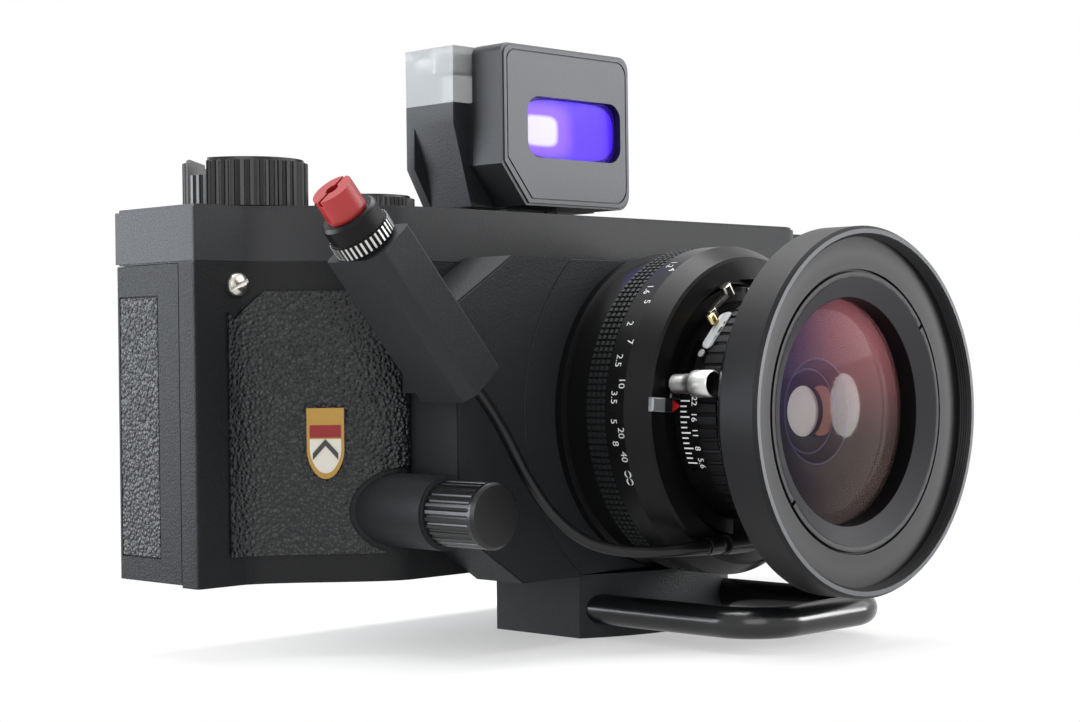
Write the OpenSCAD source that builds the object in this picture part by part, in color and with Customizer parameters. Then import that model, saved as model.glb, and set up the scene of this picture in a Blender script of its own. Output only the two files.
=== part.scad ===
// Panoramic roll-film camera with a wide-angle lens on a clamped lens panel.
// Millimetres. +Z is up, the lens looks along -Y, +X is the hinge end of the body.
// The origin is the mouth of the tripod socket under the foot, straight below the lens axis plane.

/* [Body] */
// width of the body over both ends
body_w = 270; // [250:1:300]
// height of the lens axis above the underside of the foot
axis_z = 64; // [58:1:70]
// distance from the lens axis down to the underside of the body
body_drop = 44; // [40:1:46]
// distance from the lens axis up to the seam under the top cover
seam_rise = 42; // [40:1:44]
// height of the top cover
cover_h = 15.3; // [12:0.1:20]
// front face of the film chambers at both ends
end_front_y = 20; // [16:1:22]
// depth of the film chambers over the rear cover
end_depth = 36; // [34:1:42]
// how far the middle of the body stands ahead of the end faces
centre_step = 25.5; // [20:0.5:30]
// thickness of the body walls
wall = 3; // [2.4:0.1:4]
// thickness of the leather covering
leather_t = 0.8; // [0.5:0.1:1.2]

/* [Film] */
// width of the picture gate
gate_w = 168; // [160:1:170]
// height of the picture gate
gate_h = 56; // [50:1:60]
// length of a roll-film spool
spool_l = 65.7; // [60:0.1:66]
// flange diameter of a roll-film spool
spool_d = 25.2; // [22:0.1:26]
// distance from the edge of the gate to each spool axis
spool_gap = 22; // [20:0.5:24]
// diameter of the guide rollers
roller_d = 7; // [5:0.5:8]

/* [Lens panel] */
// width of the lens panel
panel_w = 165; // [150:1:170]
// thickness of the lens panel
panel_t = 18.5; // [15:0.5:22]
// height of the panel above the lens axis
panel_up = 43.6; // [42.5:0.1:46]
// depth of the panel below the lens axis
panel_down = 46; // [45:0.5:48]
// radius of the round lens flange let into the panel
flange_r = 57.8; // [54:0.1:60]
// radius of the clamp bosses
boss_r = 10; // [9:0.1:11]

/* [Lens] */
// outer radius of the focusing ring
focus_r = 46.5; // [44:0.1:48]
// length of the focusing ring
focus_l = 21.5; // [18:0.5:24]
// outer radius of the front ring
front_r = 50; // [48:0.1:54]
// distance from the panel face to the front rim of the lens
lens_l = 74.3; // [70:0.1:80]
// length of the front ring
front_l = 12.3; // [10:0.1:15]
// radius of the filter thread in the front ring
filter_r = 47.5; // [45:0.1:48]
// radius of the shutter housing
shutter_r = 31; // [29:0.5:33]
// travel of the lens from infinity to its near limit
focus_travel = 5.5; // [3:0.5:6]

/* [Finder] */
// width of the finder hood
finder_w = 56; // [50:1:60]
// height of the finder hood
finder_h = 48; // [44:1:52]
// depth of the finder hood
hood_d = 13; // [10:0.5:16]
// width of the finder window
window_w = 41; // [34:1:44]
// height of the finder window
window_h = 18.4; // [14:0.1:20]
// width of the rear block of the finder
block_w = 68; // [60:1:72]
// height of the clear level block
level_h = 17; // [12:1:20]

/* [Controls] */
// diameter of the wind knob
wind_d = 34.5; // [30:0.5:38]
// height of the wind knob
wind_h = 13.6; // [10:0.1:18]
// diameter of the counter dial
dial_d = 29; // [24:0.5:32]
// height of the counter dial
dial_h = 5.5; // [4:0.5:7]
// length of the release grip
grip_l = 48; // [44:1:54]
// width of the release grip
grip_w = 14.5; // [13:0.5:16]
// depth of the release grip
grip_d = 20; // [18:0.5:22]
// tilt of the release grip from level
grip_tilt = 49; // [44:1:54]
// diameter of the release button
button_d = 11; // [9:0.5:12]
// diameter of the release cable
cable_d = 3.2; // [2.4:0.1:4]

/* [Foot] */
// width of the foot
foot_w = 66; // [62:1:72]
// length of the foot
foot_l = 43; // [40:1:46]
// radius of the tripod socket
socket_r = 4.2; // [3:0.1:5]
// depth of the tripod socket
socket_l = 12; // [8:0.5:14]
// diameter of the guard bow's bar
bow_d = 8.6; // [7:0.1:10]
// reach of the guard bow ahead of the foot
bow_reach = 51; // [46:1:56]

/* [Hidden] */
half_w = body_w / 2;
spool_x = gate_w / 2 + spool_gap;
roller_x = gate_w / 2 + roller_d / 2 + 1.8;
rear_y = end_front_y + end_depth;
mid_front_y = end_front_y - centre_step;
panel_y = mid_front_y - panel_t;
body_z0 = axis_z - body_drop;
seam_z = axis_z + seam_rise;
top_z = seam_z + cover_h;
door_y = end_front_y + 7;
film_y = rear_y - 14;
spool_y = film_y - 6.5;
gate_t = 2;
door_in_y = rear_y - wall - 1;
plate_half = half_w - 5;
lens_y = panel_y - lens_l;
ring_y = lens_y + front_l;
focus_y1 = panel_y - 11.5;
focus_y0 = focus_y1 - focus_l;
shutter_y1 = focus_y0 + 3;
shutter_y0 = shutter_y1 - 21;
run = 0.06;
barrel_r = focus_r - 2.5;
key_r = focus_r - 10.5;
gap = 0.3;
lip_r = front_r - 12.2;
glass_r = front_r - 19;
dome_r = 2.7 * glass_r;
boss_x = panel_w / 2 + 4;
boss_z = axis_z - 25;
knob_l = 18;
knob_r = boss_r - 1.2;
panel_cx = 21;
panel_cz = 13;
sweep_a = half_w - 15;
sweep_b = panel_w / 2 + 1.7;
sweep_rise = end_front_y - mid_front_y;
finder_y0 = mid_front_y + 18.5;
finder_z0 = top_z + 4;
block_y0 = finder_y0 + hood_d + 2;
block_d = 21;
block_h = 31;
dial_x = -spool_x + 41.5;
dial_y = spool_y - 2;
grip_y = panel_y - 2;
grip_x0 = -panel_w / 2 - 1;
grip_z0 = axis_z + 9;
grip_screw_z = [12, 17];
foot_y1 = 13;
foot_y0 = foot_y1 - foot_l;
foot_h = axis_z - panel_down;
bow_z = 8;
hinge_x = half_w + 2.2;
hinge_y = door_y - 1;
socket_y = shutter_y1 - 6;
socket_z = axis_z - 36.5;
bow_x = foot_w / 2 - 6;
cable_off = -5;
// hand-chosen route of the release cable from the grip to the shutter socket
cable_pts = [
  [-83.5, -31, 73], [-78, -31, 67.1], [-72.5, -31.5, 59.5], [-67, -34, 48], [-61, -38, 37.5],
  [-54, -43, 30.5], [-46, -48.5, 27.5], [-37, -54.5, 26.8], [-30, -58.4, 27.2], [-24, -60, 27.5]
];

$fn = 48;

// round bar along Y
module ybar(r, y0, y1, x = 0, z = axis_z) {
  translate([x, y0, z]) rotate([-90, 0, 0]) cylinder(r = r, h = y1 - y0);
}

// turned piece about the lens axis, profile points are [radius, y]
module turned(pts) {
  translate([0, 0, axis_z]) rotate([-90, 0, 0]) rotate_extrude($fn = 72) polygon(pts);
}

// upright slab from a plan outline
module slab(z0, z1) {
  translate([0, 0, z0]) linear_extrude(z1 - z0) children();
}

// outline in the X-Z plane pushed along Y
module front_slab(y0, y1) {
  translate([0, y1, 0]) rotate([90, 0, 0]) linear_extrude(y1 - y0) children();
}

// disc with straight ribs round its edge
module ribbed_2d(r, count, depth) {
  difference() {
    circle(r = r, $fn = 72);
    for (i = [0 : count - 1]) rotate(i * 360 / count) translate([r + depth * 0.2, 0])
      circle(r = depth, $fn = 8);
  }
}

// share of the rise at a share of the sweep's width, an even slope with soft ends
function sweep_share(t) = 0.35 * t + 0.65 * t * t * (3 - 2 * t);

// point on the sweep from the end face to the middle of the body
function sweep_pt(t) = [
  sweep_a + (sweep_b - sweep_a) * t,
  end_front_y - sweep_rise * sweep_share(t)
];

sweep_n = 12;
sweep_pts = [for (i = [0 : sweep_n]) sweep_pt(i / sweep_n)];

// half plan of the body, mirrored by plan()
module half_plan(y1) {
  polygon(concat(
    [[0, mid_front_y]],
    [for (i = [sweep_n : -1 : 0]) sweep_pts[i]],
    [[half_w - 0.9, end_front_y], [half_w - 0.25, end_front_y + 0.25], [half_w, end_front_y + 0.9],
     [half_w, y1], [0, y1]]
  ));
}

module plan(y1) {
  half_plan(y1);
  mirror([1, 0]) half_plan(y1);
}

// spool chamber, light chamber and the openings between them
module chamber_cuts() {
  inner_z0 = body_z0 + wall + 1;
  inner_z1 = seam_z - wall - 1;
  for (s = [-1, 1]) {
    // spool chambers, open to the rear
    mirror([s < 0 ? 1 : 0, 0, 0]) translate([spool_x - 15, end_front_y + 2, inner_z0])
      cube([half_w - wall - 2.4 - spool_x + 15, end_depth, inner_z1 - inner_z0]);
  }
  // space behind the gate for film and pressure plate
  translate([-spool_x, film_y - gate_t, inner_z0]) cube([2 * spool_x, 40, inner_z1 - inner_z0]);
  // recesses of the guide rollers
  for (s = [0, 1]) mirror([s, 0, 0]) translate([roller_x - roller_d / 2 - 0.6, film_y - 12, inner_z0])
    cube([spool_x - roller_x, 40, inner_z1 - inner_z0]);
  // light chamber narrowing towards the lens
  hull() {
    translate([-gate_w / 2, film_y - 9, axis_z - gate_h / 2]) cube([gate_w, 9, gate_h]);
    translate([-40, mid_front_y - 1, axis_z - 30]) cube([80, 1, 60]);
  }
}

module body_casting() {
  color([0.07, 0.07, 0.075]) difference() {
    union() {
      slab(body_z0, seam_z) plan(door_y);
      // floor and roof plates that the rear cover closes round
      for (z = [body_z0 + 1, seam_z - wall - 1])
        translate([-plate_half, door_y, z]) cube([2 * plate_half, rear_y - 4.5 - door_y, wall]);
      // hinge knuckle between the two lugs of the rear cover
      translate([hinge_x, hinge_y, axis_z - 7.6]) cylinder(r = 2.2, h = 15.2, $fn = 32);
      translate([half_w - 1, hinge_y - 4.5, axis_z - 7.6]) cube([3.2, 4.5, 15.2]);
      // block behind the middle that carries the gate
      translate([-gate_w / 2 - 3, door_y, body_z0 + 1])
        cube([gate_w + 6, film_y - gate_t - door_y, seam_z - body_z0 - 2]);
    }
    chamber_cuts();
    // shaft bores of the two spools
    for (s = [-1, 1]) translate([s * spool_x, spool_y, seam_z - 8]) cylinder(r = 4 + run, h = 20);
    translate([spool_x, spool_y, body_z0 - 1]) cylinder(r = 4, h = 8);
    translate([-spool_x, spool_y, body_z0 - 1]) cylinder(r = 4, h = 8);
    // clamp screw holes
    for (s = [-1, 1]) ybar(3.2, mid_front_y - 1, mid_front_y + 9, s * boss_x, boss_z);
    // flat seats of the strap studs at the start of the sweep
    for (s = [-1, 1]) ybar(3.4 + run, end_front_y - 4, end_front_y, s * (half_w - 13.7), axis_z + 36.1);
    // strap stud holes
    for (s = [-1, 1]) ybar(1.5, end_front_y - 1, end_front_y + 2.5, s * (half_w - 13.7), axis_z + 36.1);
    translate([hinge_x, hinge_y, axis_z - 9]) cylinder(r = 1.2, h = 18, $fn = 32);
    // roller pivots
    for (s = [-1, 1]) translate([s * roller_x, film_y - 6, body_z0]) cylinder(r = 1.5 + run, h = 100);
  }
}

module top_cover() {
  color([0.09, 0.09, 0.095]) difference() {
    union() {
      slab(seam_z + 0.4, top_z - 0.8) plan(rear_y);
      slab(top_z - 0.8, top_z) offset(delta = -0.8) plan(rear_y);
      slab(seam_z, seam_z + 0.4) offset(delta = -0.5) plan(rear_y - 0.5);
    }
    // room for the winding shaft and the counter spindle
    translate([-spool_x, spool_y, seam_z - 1]) cylinder(r = 5 + run, h = cover_h + 2);
    translate([dial_x, dial_y, top_z - 6]) cylinder(r = 3 + run, h = 7);
    // screw holes of the accessory shoe
    for (x = [-9, 9]) translate([x, finder_y0 + 26, top_z - 5]) cylinder(r = 1.5, h = 6);
    // notch for the upper edge of the lens panel
    translate([-panel_w / 2 - 1, mid_front_y - 1, seam_z - 1])
      cube([panel_w + 2, 0.95, panel_up - seam_rise + 2]);
  }
}

// leather skin on the sweep, as seen from above
module leather_plan(t) {
  pts = concat([[half_w - 10.4, end_front_y]], sweep_pts, [[panel_w / 2 + 1.2, mid_front_y]]);
  off = concat([[half_w - 10.4, end_front_y - t]],
    [for (p = sweep_pts) [p[0] + t * 0.55, p[1] - t]], [[panel_w / 2 + 1.2, mid_front_y - t]]);
  polygon(concat(pts, [for (i = [len(off) - 1 : -1 : 0]) off[i]]));
}

module leather_right() {
  difference() {
    slab(axis_z - 36.4, axis_z + 34.3) leather_plan(leather_t);
    // clipped upper corner beside the strap stud
    translate([half_w - 12.4, end_front_y - 10, axis_z + 26.7]) rotate([0, -46, 0]) cube([30, 20, 40]);
    // round the clamp boss
    ybar(boss_r + 1.6, panel_y, end_front_y + 5, boss_x, boss_z);
    translate([panel_w / 2, mid_front_y - 5, body_z0]) cube([boss_x - panel_w / 2 + 4, 30, boss_z - body_z0]);
  }
}

module front_leather_right() {
  color([0.10, 0.10, 0.105]) leather_right();
}

module front_leather_left() {
  color([0.10, 0.10, 0.105]) mirror([1, 0, 0]) leather_right();
}

module film_gate() {
  color([0.16, 0.16, 0.17]) difference() {
    translate([-gate_w / 2 - 3, film_y - gate_t, axis_z - 34]) cube([gate_w + 6, gate_t, 68]);
    translate([-gate_w / 2, film_y - gate_t - 1, axis_z - gate_h / 2]) cube([gate_w, gate_t + 2, gate_h]);
  }
}

module roller() {
  translate([0, 0, axis_z - 32]) cylinder(r = roller_d / 2, h = 64);
  translate([0, 0, body_z0 + 1.2]) cylinder(r = 1.5, h = seam_z - body_z0 - 2.4, $fn = 32);
}

module roller_left() {
  color([0.75, 0.75, 0.76]) translate([-roller_x, film_y - 6, 0]) roller();
}

module roller_right() {
  color([0.75, 0.75, 0.76]) translate([roller_x, film_y - 6, 0]) roller();
}

module strap_studs() {
  color([0.78, 0.77, 0.75]) for (s = [-1, 1])
    translate([s * (half_w - 13.7), end_front_y, axis_z + 36.1]) rotate([90, 0, 0]) difference() {
      union() {
        translate([0, 0, -2.4]) cylinder(r = 1.5, h = 2.4, $fn = 32);
        rotate_extrude($fn = 32) polygon([[0, 0], [3.4, 0], [3.4, 0.8], [2.9, 1.6], [1.8, 2.1], [0, 2.3]]);
      }
      rotate([0, 0, 25]) translate([-4, -0.5, 1.3]) cube([8, 1, 2]);
    }
}

module accessory_shoe() {
  color([0.10, 0.10, 0.105]) difference() {
    translate([-11, finder_y0 + 16, top_z]) cube([22, 20, 3.9]);
    translate([-9.3, finder_y0 + 15, top_z + 1.2]) cube([18.6, 22, 1.7]);
    translate([-6.4, finder_y0 + 15, top_z + 1.2]) cube([12.8, 22, 4]);
    for (x = [-9, 9]) translate([x * 0.5, finder_y0 + 26, top_z - 1]) cylinder(r = 1.2, h = 4, $fn = 24);
  }
}

module rear_cover() {
  z0 = body_z0 + 0.7;
  color([0.08, 0.08, 0.085]) difference() {
    slab(z0, seam_z - 0.2) polygon([
      [-half_w, door_y + 0.3], [-half_w, rear_y - 0.8], [-half_w + 0.8, rear_y], [half_w - 0.8, rear_y],
      [half_w, rear_y - 0.8], [half_w, door_y + 0.3]
    ]);
    translate([-half_w + wall, door_y - 1, z0 - 1]) cube([body_w - 2 * wall, door_in_y - door_y + 1, 200]);
    // recesses for the leather on the back and both ends
    translate([-half_w + 14, rear_y - leather_t, axis_z - 37]) cube([body_w - 28, 5, 70.5]);
    for (s = [-1, 1]) translate([s * half_w - leather_t, door_y + 9.5, axis_z - 37])
      cube([2 * leather_t, rear_y - 1.6 - door_y - 9.5, 70.5]);
    // latch slot in the back
    translate([-half_w + 5, door_in_y - 1, axis_z - 14 - gap]) cube([5, wall + 3, 28 + 2 * gap]);
    // pressure plate guide holes
    for (x = [-60, 60]) ybar(1.6, door_in_y - 1, door_in_y + 2.4, x, axis_z);
  }
  // hinge lug on the outside of the hinge end
  color([0.08, 0.08, 0.085]) for (z = [axis_z - 20, axis_z + 8]) difference() {
    union() {
      translate([hinge_x, hinge_y, z]) cylinder(r = 2.2, h = 12, $fn = 32);
      translate([half_w - 1, door_y + 0.5, z]) cube([3, 4, 12]);
      translate([half_w + 0.3, hinge_y, z]) cube([4.1, 5.5, 12]);
    }
    translate([hinge_x, hinge_y, z - 1]) cylinder(r = 1.2 + run, h = 14, $fn = 32);
  }
}

module rear_leathers() {
  color([0.10, 0.10, 0.105]) {
    translate([-half_w + 14.3, rear_y - leather_t, axis_z - 36.7]) cube([body_w - 28.6, leather_t, 69.9]);
    for (x = [-half_w, half_w - leather_t]) translate([x, door_y + 9.8, axis_z - 36.7])
      cube([leather_t, rear_y - 1.9 - door_y - 9.8, 69.9]);
  }
}

module pressure_plate() {
  color([0.14, 0.14, 0.15]) {
    translate([-gate_w / 2 - 2, film_y + 0.3, axis_z - 33]) cube([gate_w + 4, 2, 66]);
    for (x = [-60, 60]) ybar(1.5, film_y + 2.3, door_in_y + 1.4, x, axis_z);
  }
}

module pressure_springs() {
  color([0.70, 0.70, 0.70]) for (x = [-30, 30]) translate([x, 0, axis_z - 6]) linear_extrude(12) polygon([
    [-14, door_in_y], [-14, door_in_y - 0.5], [-5, door_in_y - 0.5], [9.8, film_y + 2.6],
    [14, film_y + 2.5], [14, film_y + 3], [10, film_y + 3.1], [-4.6, door_in_y]
  ]);
}

module hinge_pin() {
  color([0.6, 0.6, 0.6]) translate([hinge_x, hinge_y, axis_z - 21]) cylinder(r = 1.2, h = 42, $fn = 32);
}

module door_latch() {
  color([0.12, 0.12, 0.125]) translate([-half_w + 5 + gap, 0, 0]) {
    translate([0, door_in_y + 0.2, axis_z - 12]) cube([5 - 2 * gap, rear_y + 1 - door_in_y, 18]);
    for (i = [0 : 3]) translate([0, rear_y + 1.2, axis_z - 9 + i * 3.6]) cube([5 - 2 * gap, 0.8, 1.4]);
  }
}

module wind_knob() {
  color([0.06, 0.06, 0.065]) translate([-spool_x, spool_y, 0]) difference() {
    union() {
      slab(top_z + 0.4, top_z + wind_h - 0.9) ribbed_2d(wind_d / 2, 40, 0.9);
      slab(top_z + wind_h - 0.9, top_z + wind_h) circle(r = wind_d / 2 - 1.1, $fn = 72);
    }
    // finger slot across one side of the knob
    rotate(40) translate([-wind_d, wind_d * 0.21, top_z + wind_h * 0.66])
      cube([2 * wind_d, wind_d * 0.18, 20]);
    translate([0, 0, top_z - 1]) cylinder(r = 5, h = 7.2);
  }
}

module wind_shaft() {
  color([0.65, 0.65, 0.66]) translate([-spool_x, spool_y, 0]) {
    translate([0, 0, seam_z + 0.2]) cylinder(r = 5, h = top_z + 6 - seam_z);
    translate([0, 0, axis_z + spool_l / 2 - 2.5])
      cylinder(r = 4, h = seam_z + 0.2 - axis_z - spool_l / 2 + 2.5);
    translate([-4.5, -0.9, axis_z + spool_l / 2 - 2.5]) cube([9, 1.8, 2.5]);
  }
}

module counter_dial() {
  color([0.07, 0.07, 0.075]) translate([dial_x, dial_y, 0]) {
    slab(top_z + 0.3, top_z + dial_h - 0.8) ribbed_2d(dial_d / 2, 56, 0.8);
    slab(top_z + dial_h - 0.8, top_z + dial_h) circle(r = dial_d / 2 - 1.3, $fn = 72);
    translate([0, 0, top_z - 4.5]) cylinder(r = 3, h = 4.8);
  }
}

// roll-film spool: core, two flanges and a keyway at both ends
module spool() {
  difference() {
    union() {
      translate([0, 0, axis_z - spool_l / 2]) cylinder(r = spool_d / 2, h = 1.2);
      translate([0, 0, axis_z - spool_l / 2]) cylinder(r = 6, h = spool_l);
      translate([0, 0, axis_z + spool_l / 2 - 1.2]) cylinder(r = spool_d / 2, h = 1.2);
    }
    for (z = [axis_z - spool_l / 2 - 1, axis_z + spool_l / 2 - 3]) translate([0, 0, z]) {
      cylinder(r = 4 + run, h = 4);
      translate([-5, -1, 0]) cube([10, 2, 4]);
    }
    // slit for the film leader
    translate([-0.7, -8, axis_z - 28]) cube([1.4, 16, 56]);
  }
}

module take_up_spool() {
  color([0.12, 0.12, 0.12]) translate([-spool_x, spool_y, 0]) spool();
}

module supply_spool() {
  color([0.12, 0.12, 0.12]) translate([spool_x, spool_y, 0]) spool();
}

// plain pivots under both spools and above the supply spool
module supply_pins() {
  color([0.65, 0.65, 0.66]) {
    for (s = [-1, 1]) translate([s * spool_x, spool_y, body_z0 + 1]) {
      cylinder(r = 4, h = axis_z - spool_l / 2 + 2.6 - body_z0 - 1);
      translate([0, 0, 3.2]) cylinder(r = 6, h = axis_z - spool_l / 2 - 0.3 - body_z0 - 4.2);
    }
    translate([spool_x, spool_y, axis_z + spool_l / 2 - 2.6])
      cylinder(r = 4, h = seam_z - axis_z - spool_l / 2 + 2.6);
  }
}

// section of the finder block: upright sides above a slanting underside
module block_2d(side_z) {
  polygon([
    [-block_w / 2 + 7, finder_z0], [block_w / 2 - 7, finder_z0], [block_w / 2, side_z],
    [block_w / 2, finder_z0 + block_h], [-block_w / 2, finder_z0 + block_h], [-block_w / 2, side_z]
  ]);
}

module finder_block() {
  color([0.08, 0.08, 0.085]) difference() {
    union() {
      front_slab(block_y0, block_y0 + block_d - 3.5) block_2d(finder_z0 + block_h - 6.4);
      front_slab(block_y0 + block_d - 3.5, block_y0 + block_d) block_2d(finder_z0 + 12);
      // neck that carries the hood
      front_slab(finder_y0 + hood_d, block_y0) intersection() {
        hood_2d(0.4);
        block_2d(finder_z0 + block_h - 6.4);
      }
    }
    // sight tunnel
    ybar(9, finder_y0 + hood_d - 1, block_y0 + block_d + 1, 0, finder_z0 + finder_h / 2);
  }
}

// hood outline: clipped lower left corner, rounded elsewhere
module hood_2d(inset) {
  w = finder_w / 2 - inset;
  z0 = finder_z0 + inset;
  z1 = finder_z0 + finder_h - inset;
  hull() {
    translate([-w + 3, z1 - 3]) circle(r = 3, $fn = 32);
    translate([w - 4, z1 - 4]) circle(r = 4, $fn = 32);
    translate([w - 5, z0 + 5]) circle(r = 5, $fn = 32);
    polygon([[-w, z0 + 12], [-w + 10, z0], [-w + 12, z0 + 12]]);
  }
}

// rounded finder window outline
module window_2d(grow) {
  z = finder_z0 + finder_h * 0.494;
  hull() for (x = [-1, 1]) for (k = [-1, 1])
    translate([3 + x * (window_w / 2 - 5), z + k * (window_h / 2 - 5)]) circle(r = 5 + grow, $fn = 32);
}

module finder_hood() {
  color([0.10, 0.10, 0.105]) difference() {
    union() {
      front_slab(finder_y0 + 0.7, finder_y0 + hood_d) hood_2d(0);
      front_slab(finder_y0, finder_y0 + 0.7) hood_2d(0.7);
    }
    front_slab(finder_y0 - 1, finder_y0 + 4.5) window_2d(0);
    // fine groove round the front plate
    front_slab(finder_y0 - 1, finder_y0 + 0.5) difference() {
      hood_2d(1.8);
      hood_2d(2.15);
    }
    ybar(9, finder_y0 - 1, finder_y0 + hood_d + 1, 0, finder_z0 + finder_h / 2);
  }
}

module finder_window() {
  color([0.25, 0.15, 0.75]) front_slab(finder_y0 + 2.6, finder_y0 + 4.5) window_2d(-0.05);
}

module finder_eyepiece() {
  z = finder_z0 + finder_h / 2;
  y1 = block_y0 + block_d;
  color([0.05, 0.05, 0.05]) translate([0, y1 - 4, z]) rotate([-90, 0, 0]) rotate_extrude() polygon([
    [6, 0], [9, 0], [9, 4], [12, 4], [12, 7], [11, 8], [8, 8], [6, 5]
  ]);
}

module finder_level() {
  z0 = finder_z0 + block_h;
  color([0.85, 0.88, 0.88]) difference() {
    translate([-block_w / 2, block_y0, z0]) cube([24, block_d, level_h]);
    translate([-block_w / 2 + 12, block_y0 + block_d / 2, z0 + level_h - 7]) cylinder(r = 6.2, h = 8);
  }
}

module level_vial() {
  z0 = finder_z0 + block_h;
  color([0.75, 0.85, 0.35]) translate([-block_w / 2 + 12, block_y0 + block_d / 2, z0 + level_h - 7]) {
    cylinder(r = 6.1, h = 5);
    translate([0, 0, 5]) cylinder(r = 5, h = 0.6);
  }
}

module finder_foot() {
  y0 = finder_y0 + 16.5;
  color([0.12, 0.12, 0.125]) {
    translate([-9.2, y0, top_z + 1.3]) cube([18.4, 18.5, 1.5]);
    translate([-6.2, y0, top_z + 2.8]) cube([12.4, 18.5, finder_z0 - top_z - 2.8]);
  }
}

// octagonal outline of the lens panel
module panel_2d() {
  w = panel_w / 2;
  z0 = axis_z - panel_down;
  z1 = axis_z + panel_up;
  polygon([
    [-w, z0 + 16], [-w + 24, z0], [w - 24, z0], [w, z0 + 16],
    [w, z1 - panel_cz], [w - panel_cx, z1], [-w + panel_cx, z1], [-w, z1 - panel_cz]
  ]);
}

module lens_panel() {
  color([0.08, 0.08, 0.085]) difference() {
    union() {
      front_slab(panel_y + 0.5, mid_front_y) panel_2d();
      front_slab(panel_y, panel_y + 0.5) offset(delta = -0.5) panel_2d();
      for (s = [-1, 1]) {
        // the bosses reach back to the sweep of the body
        difference() {
          ybar(boss_r, panel_y + 0.6, mid_front_y + 9, s * boss_x, boss_z);
          slab(0, top_z) offset(delta = gap) plan(rear_y);
        }
        ybar(boss_r - 0.6, panel_y, panel_y + 0.6, s * boss_x, boss_z);
      }
    }
    // seat of the round flange and the light opening behind it
    ybar(flange_r, panel_y - 1, panel_y + 4);
    ybar(40, panel_y, mid_front_y + 1);
    for (s = [-1, 1]) ybar(3 + run, panel_y - 1, mid_front_y + 10, s * boss_x, boss_z);
    // screw holes of the grip casting
    for (z = grip_screw_z) translate([-panel_w / 2 - 1, panel_y + 6, axis_z + z])
      rotate([0, 90, 0]) cylinder(r = 1.6, h = 9, $fn = 24);
  }
}

module lens_flange() {
  color([0.08, 0.08, 0.085]) difference() {
    intersection() {
      ybar(flange_r - 0.25, panel_y, panel_y + 4);
      front_slab(panel_y - 1, panel_y + 5) offset(delta = -0.5) panel_2d();
    }
    ybar(38, panel_y - 1, panel_y + 5);
    for (i = [0 : 3]) translate([41 * cos(45 + i * 90), 0, 41 * sin(45 + i * 90)])
      ybar(1.2, panel_y - 1, panel_y + 5);
  }
}

module helicoid_barrel() {
  color([0.05, 0.05, 0.055]) difference() {
    turned([
      [key_r, focus_y0 + 6], [barrel_r, focus_y0 + 6],
      [barrel_r, panel_y - 3], [barrel_r + 1.5, panel_y - 2.4],
      [barrel_r + 1.5, panel_y], [key_r + 1.9, panel_y], [key_r + 1.9, panel_y + 4], [key_r, panel_y + 4]
    ]);
    // two straight keyways that guide the lens carrier
    for (s = [-1, 1]) translate([s * (key_r + 0.5) - 2, focus_y0 + 5, axis_z - 2]) cube([4, 40, 4]);
  }
}

module focus_ring() {
  color([0.06, 0.06, 0.065]) turned([
    [barrel_r + run, focus_y1], [focus_r - 1.6, focus_y1], [focus_r - 1.2, focus_y1 - 1],
    [focus_r - 1.2, focus_y1 - 8.4], [focus_r, focus_y1 - 8.4], [focus_r, focus_y1 - 15],
    [focus_r - 3.2, focus_y0 + 0.6], [focus_r - 4, focus_y0],
    [key_r + 1, focus_y0], [key_r + 1, focus_y0 + 3],
    [barrel_r - 2, focus_y0 + 5], [barrel_r + run, focus_y0 + 5.4]
  ]);
}

module focus_grip() {
  color([0.05, 0.05, 0.05]) translate([0, 0, axis_z]) rotate([-90, 0, 0]) translate([0, 0, focus_y1 - 8.4])
    linear_extrude(7.4) difference() {
      ribbed_2d(focus_r - 0.1, 72, 0.7);
      circle(r = focus_r - 1.2, $fn = 72);
    }
}

module lens_carrier() {
  color([0.10, 0.10, 0.105]) {
    turned([
      [26, shutter_y1], [key_r - 1, shutter_y1], [key_r - 1, focus_y0 + 4], [key_r - run, focus_y0 + 7],
      [key_r - run, panel_y + 1], [key_r - 2, panel_y + 1],
      [key_r - 2, shutter_y1 + 4], [26, shutter_y1 + 4]
    ]);
    // keys, with room in the keyways for the travel
    for (s = [-1, 1]) translate([s * (key_r + 0.6) - 1.7, focus_y0 + 4 + focus_travel, axis_z - 1.7])
      cube([3.4, 10, 3.4]);
  }
}

module shutter_body() {
  color([0.06, 0.06, 0.065]) difference() {
    turned([
      [17, shutter_y0 + 4], [shutter_r - 3, shutter_y0 + 4], [shutter_r - 2.5, shutter_y0 + 11],
      [shutter_r, shutter_y0 + 11.5], [shutter_r, shutter_y1 - 1],
      [shutter_r - 1, shutter_y1], [17, shutter_y1]
    ]);
    // slot of the aperture lever
    translate([0, 0, axis_z]) rotate([-90, 0, 0]) translate([0, 0, shutter_y1 - 6]) rotate([0, 0, 150])
      rotate_extrude(angle = 70, $fn = 72) translate([shutter_r - 3, 0]) square([8, 2.6]);
  }
}

module speed_ring() {
  color([0.07, 0.07, 0.075]) translate([0, 0, axis_z]) rotate([-90, 0, 0]) {
    translate([0, 0, shutter_y0 + 4.4]) linear_extrude(6.2) difference() {
      ribbed_2d(shutter_r + 1.2, 60, 0.7);
      circle(r = shutter_r - 2.5 + run, $fn = 72);
    }
  }
}

module aperture_lever() {
  color([0.80, 0.80, 0.80]) translate([0, 0, axis_z]) rotate([0, 13, 0]) {
    translate([-shutter_r - 6, shutter_y1 - 5.7, -1]) cube([8.6, 2, 2]);
    translate([-shutter_r - 5.5, shutter_y1 - 14, 0])
      rotate([-90, 0, 0]) cylinder(r = 2.6, h = 8.5, $fn = 32);
  }
}

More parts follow.
